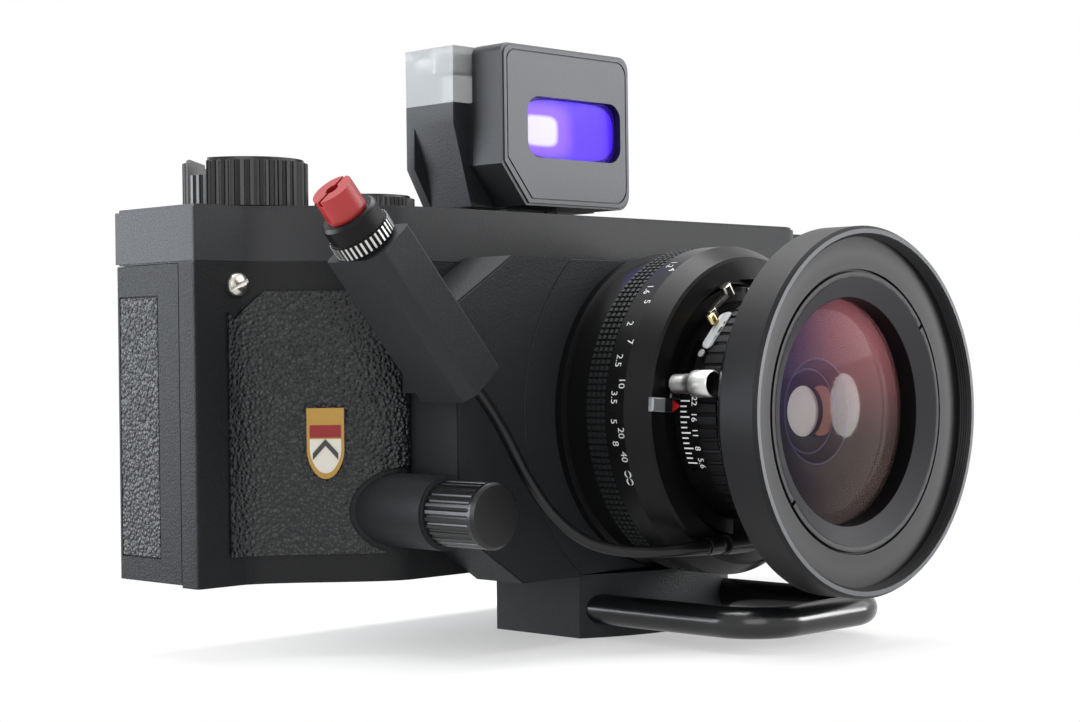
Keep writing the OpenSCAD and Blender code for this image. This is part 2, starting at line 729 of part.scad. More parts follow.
// small lever pivoted on the shutter casing
module casing_lever(ang, y, l) {
  translate([0, 0, axis_z]) rotate([0, ang, 0]) translate([-shutter_r - 0.4, y, 0]) rotate([0, -90, 0]) {
    cylinder(r = 1.4, h = 3.2, $fn = 24);
    translate([0, -0.8, 2]) cube([l, 1.6, 1.2]);
    translate([l, 0, 1.8]) cylinder(r = 1.6, h = 3.2, $fn = 24);
  }
}

module cocking_lever() {
  color([0.85, 0.80, 0.62]) casing_lever(55, shutter_y1 - 5, 9);
}

module release_lever() {
  color([0.82, 0.82, 0.82]) casing_lever(86, shutter_y1 - 5, 6);
}

module cable_socket() {
  color([0.70, 0.70, 0.70]) difference() {
    union() {
      translate([-16, socket_y, socket_z]) rotate([0, 90, 0]) cylinder(r = 2.8, h = 12, $fn = 32);
      translate([-9, socket_y - 2.8, socket_z]) cube([6, 5.6, 10]);
    }
    translate([-17, socket_y, socket_z]) rotate([0, 90, 0]) cylinder(r = 1.6, h = 9, $fn = 32);
    ybar(shutter_r, shutter_y0, shutter_y1 + 1);
  }
}

module sync_terminal() {
  color([0.78, 0.78, 0.78]) difference() {
    translate([0, 0, axis_z]) rotate([0, 205, 0]) translate([-shutter_r + 1, shutter_y1 - 4, 0])
      rotate([0, -90, 0]) difference() {
        cylinder(r = 2.4, h = key_r - shutter_r + 0.5, $fn = 32);
        translate([0, 0, 2]) cylinder(r = 1.5, h = 5, $fn = 24);
      }
    ybar(shutter_r, shutter_y0, shutter_y1 + 1);
  }
}

module shutter_blades() {
  color([0.10, 0.10, 0.10]) difference() {
    ybar(16.8, shutter_y0 + 11, shutter_y0 + 12);
    ybar(4, shutter_y0 + 10, shutter_y0 + 13);
  }
}

module front_barrel() {
  color([0.05, 0.05, 0.055]) turned([
    [22, shutter_y0 + 4], [27, shutter_y0 + 4],
    [28, shutter_y0 + 1], [44, ring_y + 5], [front_r - 1.2, ring_y],
    [45, ring_y], [40, ring_y + 3.5], [24, shutter_y0 + 1.5], [22, shutter_y0 + 1.5]
  ]);
}

// front ring: filter thread, flat face, groove, lip with spanner slots and a funnel to the glass
module front_ring() {
  color([0.06, 0.06, 0.065]) difference() {
    turned([
      [45, ring_y], [front_r - 0.8, ring_y], [front_r, ring_y - 0.8], [front_r, lens_y + 1],
      [front_r - 0.8, lens_y], [filter_r + 0.5, lens_y], [filter_r, lens_y + 0.6],
      [filter_r, lens_y + 3.8], [lip_r + 0.7, lens_y + 4.3], [lip_r + 0.7, lens_y + 5.4],
      [lip_r, lens_y + 5.4], [lip_r, lens_y + 4.2], [lip_r - 1.4, lens_y + 4.2],
      [glass_r, lens_y + 7.2], [glass_r, lens_y + 14], [42.6, lens_y + 13.6]
    ]);
    for (a = [38, 218]) translate([0, 0, axis_z]) rotate([0, -a, 0])
      translate([lip_r - 1.8, lens_y + 3.9, -0.5]) cube([2.2, 1.3, 1]);
  }
}

// front glass: a domed face with a flat seat and a shallow back
module front_glass() {
  rim = glass_r - 0.05;
  y0 = lens_y + 6.4 + dome_r;
  dome = [for (k = [0 : 6]) let (r = rim * k / 6) [r, y0 - sqrt(dome_r * dome_r - r * r)]];
  color([0.35, 0.22, 0.30]) turned(concat(dome, [
    [rim, lens_y + 13.8], [rim - 8, lens_y + 14.8], [0, lens_y + 16]
  ]));
}

module rear_barrel() {
  color([0.05, 0.05, 0.055]) turned([
    [17, shutter_y1], [25.9, shutter_y1],
    [25.9, shutter_y1 + 6], [30, shutter_y1 + 9], [33, shutter_y1 + 18],
    [33, shutter_y1 + 34], [31, shutter_y1 + 35],
    [29, shutter_y1 + 35], [29, shutter_y1 + 20], [17, shutter_y1 + 6]
  ]);
}

module rear_glass() {
  color([0.45, 0.50, 0.42]) turned([
    [0, shutter_y1 + 26], [29, shutter_y1 + 29],
    [29, shutter_y1 + 32], [20, shutter_y1 + 35.5], [0, shutter_y1 + 38]
  ]);
}

// grip frame: along the grip from its lower end, x across, y deep, z along
module on_grip() {
  translate([grip_x0, grip_y, grip_z0]) rotate([0, grip_tilt - 90, 0]) children();
}

// section of the grip: chamfered at the front lower edge, small radii elsewhere
module grip_2d() {
  w = grip_w / 2;
  d = grip_d / 2;
  polygon([
    [w - 1, -d], [w, -d + 1], [w, d - 1], [w - 1, d], [-w + 1, d], [-w, d - 1],
    [-w, -d + 3.6], [-w + 0.4, -d + 2.6], [-w + 2.6, -d + 0.4], [-w + 3.6, -d]
  ]);
}

module grip_casting() {
  color([0.09, 0.09, 0.095]) difference() {
    union() {
      on_grip() {
        linear_extrude(grip_l) grip_2d();
        translate([0, 0, grip_l]) cylinder(r1 = grip_w / 2 - 0.2, r2 = grip_w / 2 - 0.6, h = 0.6);
      }
      // mounting pad against the side of the lens panel
      translate([-panel_w / 2 - 4, panel_y + 0.8, axis_z + 6.6]) cube([4, panel_t - 2, 17]);
    }
    on_grip() {
      translate([0, cable_off, 0.6]) cylinder(r = 1.9, h = grip_l - 12, $fn = 32);
      translate([0, 0, grip_l - 8]) cylinder(r = button_d / 2 - 1.4 + run, h = 20, $fn = 32);
    }
    for (z = grip_screw_z) translate([-panel_w / 2 - 3, panel_y + 6, axis_z + z])
      rotate([0, 90, 0]) cylinder(r = 1.6, h = 8, $fn = 24);
    // clear of the panel itself
    translate([-panel_w / 2, panel_y, 0]) cube([40, 60, 200]);
  }
}

module release_collar() {
  color([0.10, 0.10, 0.105]) on_grip() difference() {
    union() {
      translate([0, 0, grip_l + 0.8]) linear_extrude(3.8) ribbed_2d(grip_w / 2 + 1, 36, 0.6);
      translate([0, 0, grip_l + 4.6]) cylinder(r = grip_w / 2 + 0.5, h = 4.5);
      translate([0, 0, grip_l + 9.1]) cylinder(r1 = grip_w / 2 + 0.5, r2 = grip_w / 2 - 0.3, h = 0.8);
    }
    translate([0, 0, grip_l]) cylinder(r = button_d / 2 + run, h = 20);
  }
}

module release_button() {
  color([0.72, 0.12, 0.12]) on_grip() difference() {
    union() {
      translate([0, 0, grip_l + 5.5]) cylinder(r = button_d / 2, h = 11.9);
      translate([0, 0, grip_l - 3]) cylinder(r = button_d / 2 - 1.4, h = 8.5, $fn = 32);
    }
    translate([0, 0, grip_l + 13]) cylinder(r = 1.8, h = 6, $fn = 24);
    translate([-8, -0.5, grip_l + 16]) cube([16, 1, 3]);
  }
}

// tube swept along a list of points, rings square to the route
function unit(v) = v / norm(v);
function tangent(p, i) = unit(p[min(i + 1, len(p) - 1)] - p[max(i - 1, 0)]);
function side_dir(t) = unit(cross(t, [0.35, -0.9, 0.2]));
function ring_pts(c, t, r, n) = let (u = side_dir(t), w = cross(t, u))
  [for (k = [0 : n - 1]) c + r * (cos(k * 360 / n) * u + sin(k * 360 / n) * w)];

module tube_along(p, r, n = 8) {
  m = len(p);
  pts = [for (i = [0 : m - 1]) each ring_pts(p[i], tangent(p, i), r, n)];
  sides = [for (i = [0 : m - 2]) for (k = [0 : n - 1])
    [i * n + k, i * n + (k + 1) % n, (i + 1) * n + (k + 1) % n, (i + 1) * n + k]];
  polyhedron(pts, concat([[for (k = [0 : n - 1]) k]], [for (f = sides) [f[3], f[2], f[1], f[0]]],
    [[for (k = [n - 1 : -1 : 0]) (m - 1) * n + k]]));
}

// point between route points i and i + 1
function spline_pt(p, i, t) = let (
  a = p[max(i - 1, 0)],
  b = p[i],
  c = p[i + 1],
  d = p[min(i + 2, len(p) - 1)]
) 0.5 * (2 * b + t * (c - a) + t * t * (2 * a - 5 * b + 4 * c - d) + t * t * t * (3 * b - a - 3 * c + d));

// the cable stops just short of its tip, which moves with the lens
cable_path = concat(
  [for (i = [0 : len(cable_pts) - 2]) for (t = [0, 0.5]) spline_pt(cable_pts, i, t)],
  [cable_pts[len(cable_pts) - 1] - [0.5, 0, 0]]
);

module release_cable() {
  color([0.04, 0.04, 0.04]) tube_along(cable_path, cable_d / 2);
}

module cable_tip() {
  p = cable_pts[len(cable_pts) - 1];
  color([0.80, 0.80, 0.80]) translate(p) rotate([0, 90, 0]) {
    cylinder(r = 2.4, h = 5, $fn = 32);
    translate([0, 0, 5]) cylinder(r1 = 2.4, r2 = 1.6, h = 3, $fn = 32);
    translate([0, 0, 8]) cylinder(r = 1.6, h = 7.5, $fn = 32);
  }
}

module clamp_knob() {
  translate([0, panel_y - 0.3, boss_z]) rotate([90, 0, 0]) {
    linear_extrude(knob_l - 2) ribbed_2d(knob_r, 28, 0.6);
    translate([0, 0, knob_l - 2]) cylinder(r = knob_r, h = 1.2);
    translate([0, 0, knob_l - 0.8]) cylinder(r1 = knob_r, r2 = knob_r - 0.8, h = 0.8);
    translate([0, 0, -panel_t - 7]) cylinder(r = 3, h = panel_t + 7);
  }
}

module clamp_knob_left() {
  color([0.07, 0.07, 0.075]) translate([-boss_x, 0, 0]) clamp_knob();
}

module clamp_knob_right() {
  color([0.07, 0.07, 0.075]) translate([boss_x, 0, 0]) clamp_knob();
}

module foot_2d() {
  translate([-foot_w / 2, foot_y0 + 15]) square([foot_w, foot_l - 15]);
  intersection() {
    translate([-foot_w / 2, foot_y0]) square([foot_w, 16]);
    translate([0, foot_y0 + foot_w * 0.94]) circle(r = foot_w * 0.94, $fn = 96);
  }
}

module foot_block() {
  color([0.08, 0.08, 0.085]) difference() {
    union() {
      slab(0, foot_h) foot_2d();
      translate([-foot_w / 2, mid_front_y, foot_h]) cube([foot_w, foot_y1 - mid_front_y, body_z0 - foot_h]);
    }
    translate([0, 0, -1]) cylinder(r = socket_r, h = socket_l + 1);
    translate([0, -11, -1]) cylinder(r = 2.6, h = 11, $fn = 32);
    for (x = [-20, 20]) translate([x, 8, -1]) {
      cylinder(r = 2.2, h = 40, $fn = 32);
      cylinder(r = 4, h = 5, $fn = 32);
    }
    // bores for the ends of the guard bow
    for (x = [-bow_x, bow_x]) translate([x, foot_y0 - 1, bow_z]) rotate([-90, 0, 0])
      cylinder(r = bow_d / 2 - 1.3, h = 20);
  }
}

module foot_screws() {
  color([0.2, 0.2, 0.2]) for (x = [-20, 20]) translate([x, 8, 1]) difference() {
    union() {
      cylinder(r = 3.8, h = 3, $fn = 32);
      cylinder(r = 2.1, h = foot_h - 1, $fn = 32);
    }
    translate([0, 0, -1]) cylinder(r = 1.5, h = 3, $fn = 6);
  }
}

// guard bow: two arms, two rounded corners and a front bar
module guard_bow() {
  r = bow_d / 2;
  bend = 13;
  yf = foot_y0 - bow_reach;
  y1 = foot_y0 + 9.6;
  color([0.07, 0.07, 0.075]) difference() {
    translate([0, 0, bow_z]) {
      for (s = [-1, 1]) {
        translate([s * bow_x, yf + bend, 0]) rotate([-90, 0, 0]) cylinder(r = r, h = y1 - yf - bend);
        translate([s * bow_x, y1, 0]) rotate([-90, 0, 0]) cylinder(r = r - 1.3, h = 8.6);
        translate([s * (bow_x - bend), yf + bend, 0]) rotate([0, 0, s < 0 ? 180 : 270])
          rotate_extrude(angle = 90) translate([bend, 0]) circle(r = r, $fn = 32);
      }
      translate([-bow_x + bend, yf, 0]) rotate([0, 90, 0]) cylinder(r = r, h = 2 * (bow_x - bend));
    }
    // the shoulders are cut to the curve of the foot
    difference() {
      slab(-5, 30) foot_2d();
      for (x = [-bow_x, bow_x]) ybar(r - 1.3, foot_y0 - 5, 30, x, bow_z);
    }
  }
}

// badge on the leather, square to the middle of the sweep
module front_badge() {
  p = sweep_pt(0.5);
  turn = atan2(1.325 * sweep_rise, sweep_a - sweep_b);
  color([0.80, 0.68, 0.30])
    translate([-p[0] - 0.55 * leather_t, p[1] - leather_t, axis_z - 6.6]) rotate([0, 0, -turn])
    rotate([90, 0, 0]) translate([0, 0, 0.1]) linear_extrude(1) hull() {
      translate([-5, -1]) square([10, 10.5]);
      translate([0, -4.5]) circle(r = 5, $fn = 32);
    }
}

body_casting();
top_cover();
front_leather_left();
front_leather_right();
film_gate();
roller_left();
roller_right();
strap_studs();
accessory_shoe();
rear_cover();
rear_leathers();
pressure_plate();
pressure_springs();
hinge_pin();
door_latch();
wind_knob();
wind_shaft();
counter_dial();
take_up_spool();
supply_spool();
supply_pins();
finder_block();
finder_hood();
finder_window();
finder_eyepiece();
finder_level();
level_vial();
finder_foot();
lens_panel();
lens_flange();
helicoid_barrel();
focus_ring();
focus_grip();
lens_carrier();
shutter_body();
speed_ring();
aperture_lever();
cocking_lever();
release_lever();
cable_socket();
sync_terminal();
shutter_blades();
front_barrel();
front_ring();
front_glass();
rear_barrel();
rear_glass();
grip_casting();
clamp_knob_left();
clamp_knob_right();
release_collar();
release_button();
release_cable();
cable_tip();
foot_block();
guard_bow();
foot_screws();
front_badge();
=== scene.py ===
# %% [markdown]
# A panoramic roll-film camera: a wide aluminium casting with a flat film chamber at each end, a thick
# octagonal lens panel in the middle, a big wide-angle lens and a finder that slides on at the top.
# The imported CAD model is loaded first. It is the fixed frame: every solid keeps its place and its body,
# and this script only gives it finishes and adds the fine pieces that solids are too plain for.

# %% Load the frame
import math
import bpy
from mathutils import Matrix, Vector


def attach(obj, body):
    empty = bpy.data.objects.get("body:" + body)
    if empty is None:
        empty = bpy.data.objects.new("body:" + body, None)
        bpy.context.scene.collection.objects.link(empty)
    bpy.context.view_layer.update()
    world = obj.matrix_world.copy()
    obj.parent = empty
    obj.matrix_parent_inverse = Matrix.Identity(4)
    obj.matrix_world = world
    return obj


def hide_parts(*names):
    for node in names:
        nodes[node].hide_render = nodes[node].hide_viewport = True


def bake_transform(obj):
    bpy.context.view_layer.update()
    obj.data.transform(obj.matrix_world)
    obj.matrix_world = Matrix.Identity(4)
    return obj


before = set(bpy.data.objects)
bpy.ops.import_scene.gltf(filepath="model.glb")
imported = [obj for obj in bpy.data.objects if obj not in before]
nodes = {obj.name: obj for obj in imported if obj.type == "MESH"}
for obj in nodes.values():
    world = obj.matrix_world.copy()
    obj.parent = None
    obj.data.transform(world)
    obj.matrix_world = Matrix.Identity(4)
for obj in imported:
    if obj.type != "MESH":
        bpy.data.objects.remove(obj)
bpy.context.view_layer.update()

scene = bpy.context.scene
scene.view_settings.view_transform = "Standard"
MM = 0.001

# %% [markdown]
# The camera stands where the photographer stood: a little above the lens axis, about 45 degrees to the
# left of the front, with the picture turned by less than a degree. Its numbers come from a fit of the
# lens ring, the panel and the body's edges. A matrix is the clearest way to hand them to Blender,
# because its columns are simply the directions right, up and back.

# %% Camera
PHOTO_WIDTH_PX = 1080
FOCAL_PX = 2088.455
SENSOR_MM = 36.0
NEAREST_MM = 10
AZIMUTH, PITCH, ROLL = (math.radians(a) for a in (-45.449, 0.208, -0.712))
CAMERA_PLACE = Vector((-461.09, -427.51, 80.81)) * MM

back = Vector((math.sin(AZIMUTH) * math.cos(PITCH), -math.cos(AZIMUTH) * math.cos(PITCH), math.sin(PITCH)))
level_right = Vector((math.cos(AZIMUTH), math.sin(AZIMUTH), 0))
level_up = back.cross(level_right)
right = level_right * math.cos(ROLL) + level_up * math.sin(ROLL)
up = level_up * math.cos(ROLL) - level_right * math.sin(ROLL)

camera_data = bpy.data.cameras.new("photo_camera")
camera_data.sensor_width = SENSOR_MM
camera_data.lens = FOCAL_PX * SENSOR_MM / PHOTO_WIDTH_PX
camera_data.clip_start = NEAREST_MM * MM
camera_object = bpy.data.objects.new("photo_camera", camera_data)
camera_object.matrix_world = Matrix((right, up, back)).transposed().to_4x4()
camera_object.location = CAMERA_PLACE
scene.collection.objects.link(camera_object)
scene.camera = camera_object
print("camera lens", round(camera_data.lens, 2), "mm")

# %% [markdown]
# A few small functions serve every mesh that follows. One makes an object from points and faces, one reads
# the box of a solid so that added pieces take their places from the frame, one puts meshes together, and
# one lays quads between rings of points. Blender's own operators could do the same, but plain lists need no
# selection and give the same mesh on every run.

# %% Mesh helpers
def new_piece(name, points, faces, material, body, smooth=True):
    """A mesh object from points in millimetres, with its material, riding on a body of the frame."""
    mesh = bpy.data.meshes.new(name)
    mesh.from_pydata([Vector(p) * MM for p in points], [], faces)
    mesh.materials.append(material)
    for face in mesh.polygons:
        face.use_smooth = smooth
    piece = bpy.data.objects.new(name, mesh)
    scene.collection.objects.link(piece)
    if body:
        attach(piece, body)
    return piece


def box(name):
    """Low corner, high corner and middle of a solid in millimetres."""
    corners = [nodes[name].matrix_world @ Vector(c) / MM for c in nodes[name].bound_box]
    low = Vector([min(c[i] for c in corners) for i in range(3)])
    high = Vector([max(c[i] for c in corners) for i in range(3)])
    return low, high, (low + high) / 2


def joined(parts):
    """Several (points, faces) pairs as one pair."""
    points, faces = [], []
    for part_points, part_faces in parts:
        start = len(points)
        points += part_points
        faces += [tuple(start + i for i in face) for face in part_faces]
    return points, faces


def ring_faces(rings, count, flip=False):
    """Quads between rings of points that follow each other in one list."""
    faces = []
    for i in range(rings - 1):
        for k in range(count):
            near, beside = i * count + k, i * count + (k + 1) % count
            quad = (near, beside, beside + count, near + count)
            faces.append((quad[0], quad[3], quad[2], quad[1]) if flip else quad)
    return faces


print("body casting from", *(tuple(round(c, 1) for c in corner) for corner in box("body_casting")[:2]))

# %% [markdown]
# Materials are built from nodes, so that each finish has its grain at a real size and needs no picture.
# One function adds a single node with its settings and links. Colours are written as sRGB hex values, as a
# paint chart has them, and are turned to the linear values that shaders work in.

# %% Material helpers
def linear(hex_colour):
    """sRGB hex to linear colour with alpha."""
    channels = [int(hex_colour[i:i + 2], 16) / 255 for i in (1, 3, 5)]
    return [c / 12.92 if c <= 0.04045 else ((c + 0.055) / 1.055) ** 2.4 for c in channels] + [1.0]


def add(tree, kind, links=(), **settings):
    """One node: settings name its attributes or its input sockets, links are (input, from node, output)."""
    node = tree.nodes.new(kind)
    for key, value in settings.items():
        if hasattr(node, key):
            setattr(node, key, value)
        else:
            node.inputs[key.replace("_", " ")].default_value = value
    for socket, source, output in links:
        tree.links.new(source.outputs[output], node.inputs[socket])
    return node


def start_material(name, hex_colour, roughness, metallic=0.0, **sockets):
    """A material with its surface shader set; returns the material, its tree and the shader."""
    material = bpy.data.materials.new(name)
    material.use_nodes = True
    tree = material.node_tree
    shader = tree.nodes["Principled BSDF"]
    shader.inputs["Base Color"].default_value = linear(hex_colour)
    shader.inputs["Roughness"].default_value = roughness
    shader.inputs["Metallic"].default_value = metallic
    for key, value in sockets.items():
        shader.inputs[key.replace("_", " ")].default_value = value
    material.diffuse_color = linear(hex_colour)
    return material, tree, shader


def dress(material, *names):
    """Gives CAD solids their material."""
    for name in names:
        data = nodes[name].data
        data.materials.clear()
        data.materials.append(material)


print("a mid grey of #808080 is", round(linear("#808080")[0], 3), "in linear light")

# %% [markdown]
# The release cable is a black plastic-sheathed wire that leaves the lower end of the grip and bends
# down and round to the shutter's socket. It comes before everything else because its length is fixed.
# A smooth curve is laid through the route's points; short straight lines would show as kinks. The route is
# kept in metres, as the frame has it.

# %% Route of the release cable
CABLE_ROUTE = [
    (-0.0835, -0.031, 0.073), (-0.078, -0.031, 0.0671), (-0.0725, -0.0315, 0.0595), (-0.067, -0.034, 0.048),
    (-0.061, -0.038, 0.0375), (-0.054, -0.043, 0.0305), (-0.046, -0.0485, 0.0275), (-0.037, -0.0545, 0.0268),
    (-0.030, -0.0584, 0.0272), (-0.024, -0.060, 0.0275),
]
CABLE_STEPS = 5


def spline(points, steps):
    """Points on a smooth curve through the given points."""
    pts = [Vector(p) for p in points]
    out = []
    for i in range(len(pts) - 1):
        a, b, c, d = pts[max(i - 1, 0)], pts[i], pts[i + 1], pts[min(i + 2, len(pts) - 1)]
        for k in range(steps):
            t = k / steps
            out.append(0.5 * (2 * b + t * (c - a) + t * t * (2 * a - 5 * b + 4 * c - d)
                              + t ** 3 * (3 * b - a - 3 * c + d)))
    return out + [pts[-1]]


cable_path = [p / MM for p in spline(CABLE_ROUTE, CABLE_STEPS)]

# %% [markdown]
# The cable's sheath is a round section swept along that route, a little thicker near the shutter, where a
# sleeve saves it from kinking. The lens moves when it is focused and the grip doesn't, but the sheath is baked in
# place and follows neither. A curve object with a bevel could have this shape too; here it is a mesh.

# %% Cable sheath
CABLE_D = 3.2
CABLE_SIDES = 20
RELIEF_POINTS, RELIEF_SWELL = 9, 0.7


def tube(path, radii, sides):
    """Points and faces of a closed round tube along a path, with a radius for each point."""
    points = []
    side = (path[1] - path[0]).orthogonal()
    for i, p in enumerate(path):
        along = (path[min(i + 1, len(path) - 1)] - path[max(i - 1, 0)]).normalized()
        side = (side - along * side.dot(along)).normalized()
        other = along.cross(side)
        for k in range(sides):
            a = 2 * math.pi * k / sides
            points.append(p + radii[i] * (math.cos(a) * side + math.sin(a) * other))
    last = (len(path) - 1) * sides
    ends = [tuple(range(sides))[::-1], tuple(last + k for k in range(sides))]
    return points, ring_faces(len(path), sides) + ends


# Extruded PVC: black, smooth and a little waxy, so it has one long soft highlight.
cable_sheath, _, _ = start_material("cable_sheath_pvc", "#0b0b0c", 0.3, Specular_IOR_Level=0.35)
to_end = [len(cable_path) - 1 - i for i in range(len(cable_path))]
cable_radii = [CABLE_D / 2 + RELIEF_SWELL * max(0, 1 - count / RELIEF_POINTS) for count in to_end]
cable = new_piece("cable_sheath", *tube(cable_path, cable_radii, CABLE_SIDES), cable_sheath, None)
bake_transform(cable)
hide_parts("release_cable")
print("cable swept through", len(cable_path), "points")

# %% [markdown]
# Wrinkle enamel is a stove paint that shrinks as it bakes, so the castings have a fine, even grain
# about 0.25 mm across. Seen from a step away it is a soft black that catches light on each grain.
# Modelled grains would be millions of faces, so noise drives the bump and a little of the roughness, and
# the colour varies only slightly. Such a grain is finer than the render can show. It is drawn about
# twice as coarse, 0.4 to 0.55 mm, so that it shows.

# %% Wrinkle and satin enamel
GRAIN_RISE = 0.16
CLOUD_MM = 25  # the paint's thickness drifts over about this far
ENAMEL_SPREAD = 0.08


def grain_enamel(name, hex_colour, hex_light, roughness, grain_mm, depth, specular=0.2):
    """Stove enamel: a fine grain in bump and gloss, and a faint cloud in the colour."""
    material, tree, shader = start_material(name, hex_colour, roughness, Specular_IOR_Level=specular)
    place = add(tree, "ShaderNodeNewGeometry")
    fine = add(tree, "ShaderNodeTexNoise", [("Vector", place, "Position")],
               Scale=1 / (grain_mm * MM), Detail=2.0)
    broad = add(tree, "ShaderNodeTexNoise", [("Vector", place, "Position")],
                Scale=1 / (CLOUD_MM * MM), Detail=2.0)
    bump = add(tree, "ShaderNodeBump", [("Height", fine, "Fac")], Strength=depth, Distance=GRAIN_RISE * MM)
    cloud = add(tree, "ShaderNodeMix", [("Factor", broad, "Fac")], data_type="RGBA",
                A=linear(hex_colour), B=linear(hex_light))
    gloss = add(tree, "ShaderNodeMapRange", [("Value", fine, "Fac")],
                To_Min=roughness - ENAMEL_SPREAD, To_Max=roughness + ENAMEL_SPREAD)
    tree.links.new(cloud.outputs["Result"], shader.inputs["Base Color"])
    tree.links.new(gloss.outputs["Result"], shader.inputs["Roughness"])
    tree.links.new(bump.outputs["Normal"], shader.inputs["Normal"])
    return material


# Wrinkle enamel on the body: a deep soft black with no clear highlight.
wrinkle_enamel = grain_enamel("wrinkle_enamel", "#0c0d0f", "#111214", 0.5, 0.55, 0.9)
# The same paint a shade greyer on panel, foot and grip: painted light for the light they catch, so that they stand
# out from the body.
lit_panel_enamel = grain_enamel("greyer_wrinkle_painted_light", "#1d1f21", "#222426", 0.5, 0.55, 0.9)
# Satin enamel, sprayed finer: smoother, so that flat faces shade evenly from dark to light.
satin_enamel = grain_enamel("satin_enamel", "#1d1e20", "#212224", 0.48, 0.5, 0.6, 0.32)
# Grey satin enamel on the finder's hood: a plain mid grey, with almost no grain.
hood_enamel = grain_enamel("grey_satin_enamel", "#6a6b6e", "#707174", 0.45, 0.4, 0.4)
dress(wrinkle_enamel, "body_casting", "rear_cover")
dress(lit_panel_enamel, "lens_panel", "lens_flange", "foot_block", "grip_casting")
dress(satin_enamel, "top_cover", "finder_block", "accessory_shoe", "finder_foot")
dress(hood_enamel, "finder_hood")
print("enamels:", [paint.name for paint in (wrinkle_enamel, lit_panel_enamel, satin_enamel, hood_enamel)])

# %% [markdown]
# The hide on the grip areas is pebbled leather: rounded grains about 1 mm across with narrow creases,
# pressed in by a hot plate. A smooth cell pattern gives the pebbles. Plain cells would look like tiles, so
# a finer noise first pushes the places about, which bends the creases as in a real hide.

# %% Pebbled leather
PEBBLE_MM = 1.1
PEBBLE_RISE = 0.55
WARP_MM, WARP_REACH = 2, 0.8


def pebbled(name, hex_colour, roughness, pebble_mm):
    """Leather with rounded pebbles that are glossy on top and dull in the creases."""
    material, tree, shader = start_material(name, hex_colour, roughness, Specular_IOR_Level=0.45)
    place = add(tree, "ShaderNodeNewGeometry")
    warp = add(tree, "ShaderNodeTexNoise", [("Vector", place, "Position")],
               Scale=1 / (WARP_MM * MM), Detail=2.0)
    shift = add(tree, "ShaderNodeVectorMath", [(0, warp, "Color")], operation="SCALE", Scale=WARP_REACH * MM)
    moved = add(tree, "ShaderNodeVectorMath", [(0, place, "Position"), (1, shift, "Vector")], operation="ADD")
    cells = add(tree, "ShaderNodeTexVoronoi", [("Vector", moved, "Vector")], feature="SMOOTH_F1",
                Scale=1 / (pebble_mm * MM), Smoothness=0.2)
    bump = add(tree, "ShaderNodeBump", [("Height", cells, "Distance")], Strength=1.0,
               Distance=PEBBLE_RISE * MM, invert=True)
    gloss = add(tree, "ShaderNodeMapRange", [("Value", cells, "Distance")],
                To_Min=roughness - 0.05, To_Max=roughness + 0.2)
    tree.links.new(gloss.outputs["Result"], shader.inputs["Roughness"])
    tree.links.new(bump.outputs["Normal"], shader.inputs["Normal"])
    return material


# Black leather with a waxed top: each pebble has its own small highlight.
leather = pebbled("pebbled_leather", "#0a0c0f", 0.32, PEBBLE_MM)
dress(leather, "front_leather_left", "front_leather_right", "rear_leathers")
print("leather pebbles of", PEBBLE_MM, "mm")

# %% [markdown]
# The lens barrel is turned aluminium, anodised black. The tool leaves very fine rings round the axis,
# which stretch highlights a little. Real rings are about 0.1 mm apart, too fine to show here, so the
# roughness gets faint bands along Y that are 0.35 mm wide. The dyed oxide layer hides the metal, so the
# shader isn't metallic.

# %% Black anodised aluminium
TOOL_RING_MM = 0.35
TOOL_SPREAD = 0.06


def turned_black(name, hex_colour, roughness, specular=0.2):
    """Dyed anodising on a turned piece, with faint tool rings round the lens axis."""
    material, tree, shader = start_material(name, hex_colour, roughness, Specular_IOR_Level=specular)
    place = add(tree, "ShaderNodeNewGeometry")
    axis = add(tree, "ShaderNodeSeparateXYZ", [("Vector", place, "Position")])
    rings = add(tree, "ShaderNodeTexNoise", [("W", axis, "Y")], noise_dimensions="1D",
                Scale=1 / (TOOL_RING_MM * MM), Detail=2.0)
    gloss = add(tree, "ShaderNodeMapRange", [("Value", rings, "Fac")],
                To_Min=roughness - TOOL_SPREAD, To_Max=roughness + TOOL_SPREAD)
    tree.links.new(gloss.outputs["Result"], shader.inputs["Roughness"])
    return material


# Bright-dipped before dyeing: black with a fairly sharp gleam along the barrel.
anodised = turned_black("black_anodised_aluminium", "#0d0d0e", 0.34, 0.15)
# Etched before dyeing: a wider, softer gleam on the front ring.
anodised_satin = turned_black("satin_anodised_aluminium", "#121214", 0.45)
# The darkest black, a shaded copy of the anodising: painted shade for what lies in the shade.
painted_shade_anodised = turned_black("painted_shade_black_anodising", "#08080a", 0.4)
dress(anodised, "helicoid_barrel", "focus_ring", "lens_carrier", "shutter_body", "front_barrel",
      "rear_barrel", "release_collar", "finder_eyepiece")
dress(painted_shade_anodised, "speed_ring")
dress(anodised_satin, "front_ring")
print("anodised:", [dye.name for dye in (anodised, anodised_satin, painted_shade_anodised)])

# %% [markdown]
# The knobs, the bow and the spools are plain black pieces that differ only in gloss: moulded plastics, a
# gloss enamel and rubber. One function makes them all. A fine grit in the roughness keeps such a surface
# from looking like a computer's perfect black.

# %% Plastics, gloss enamel and rubber
GRIT_MM = 0.6  # real grit is about 0.05 mm and would not show, so it is drawn coarser
GRIT_SPREAD = 0.06
LEAST_ROUGH = 0.03


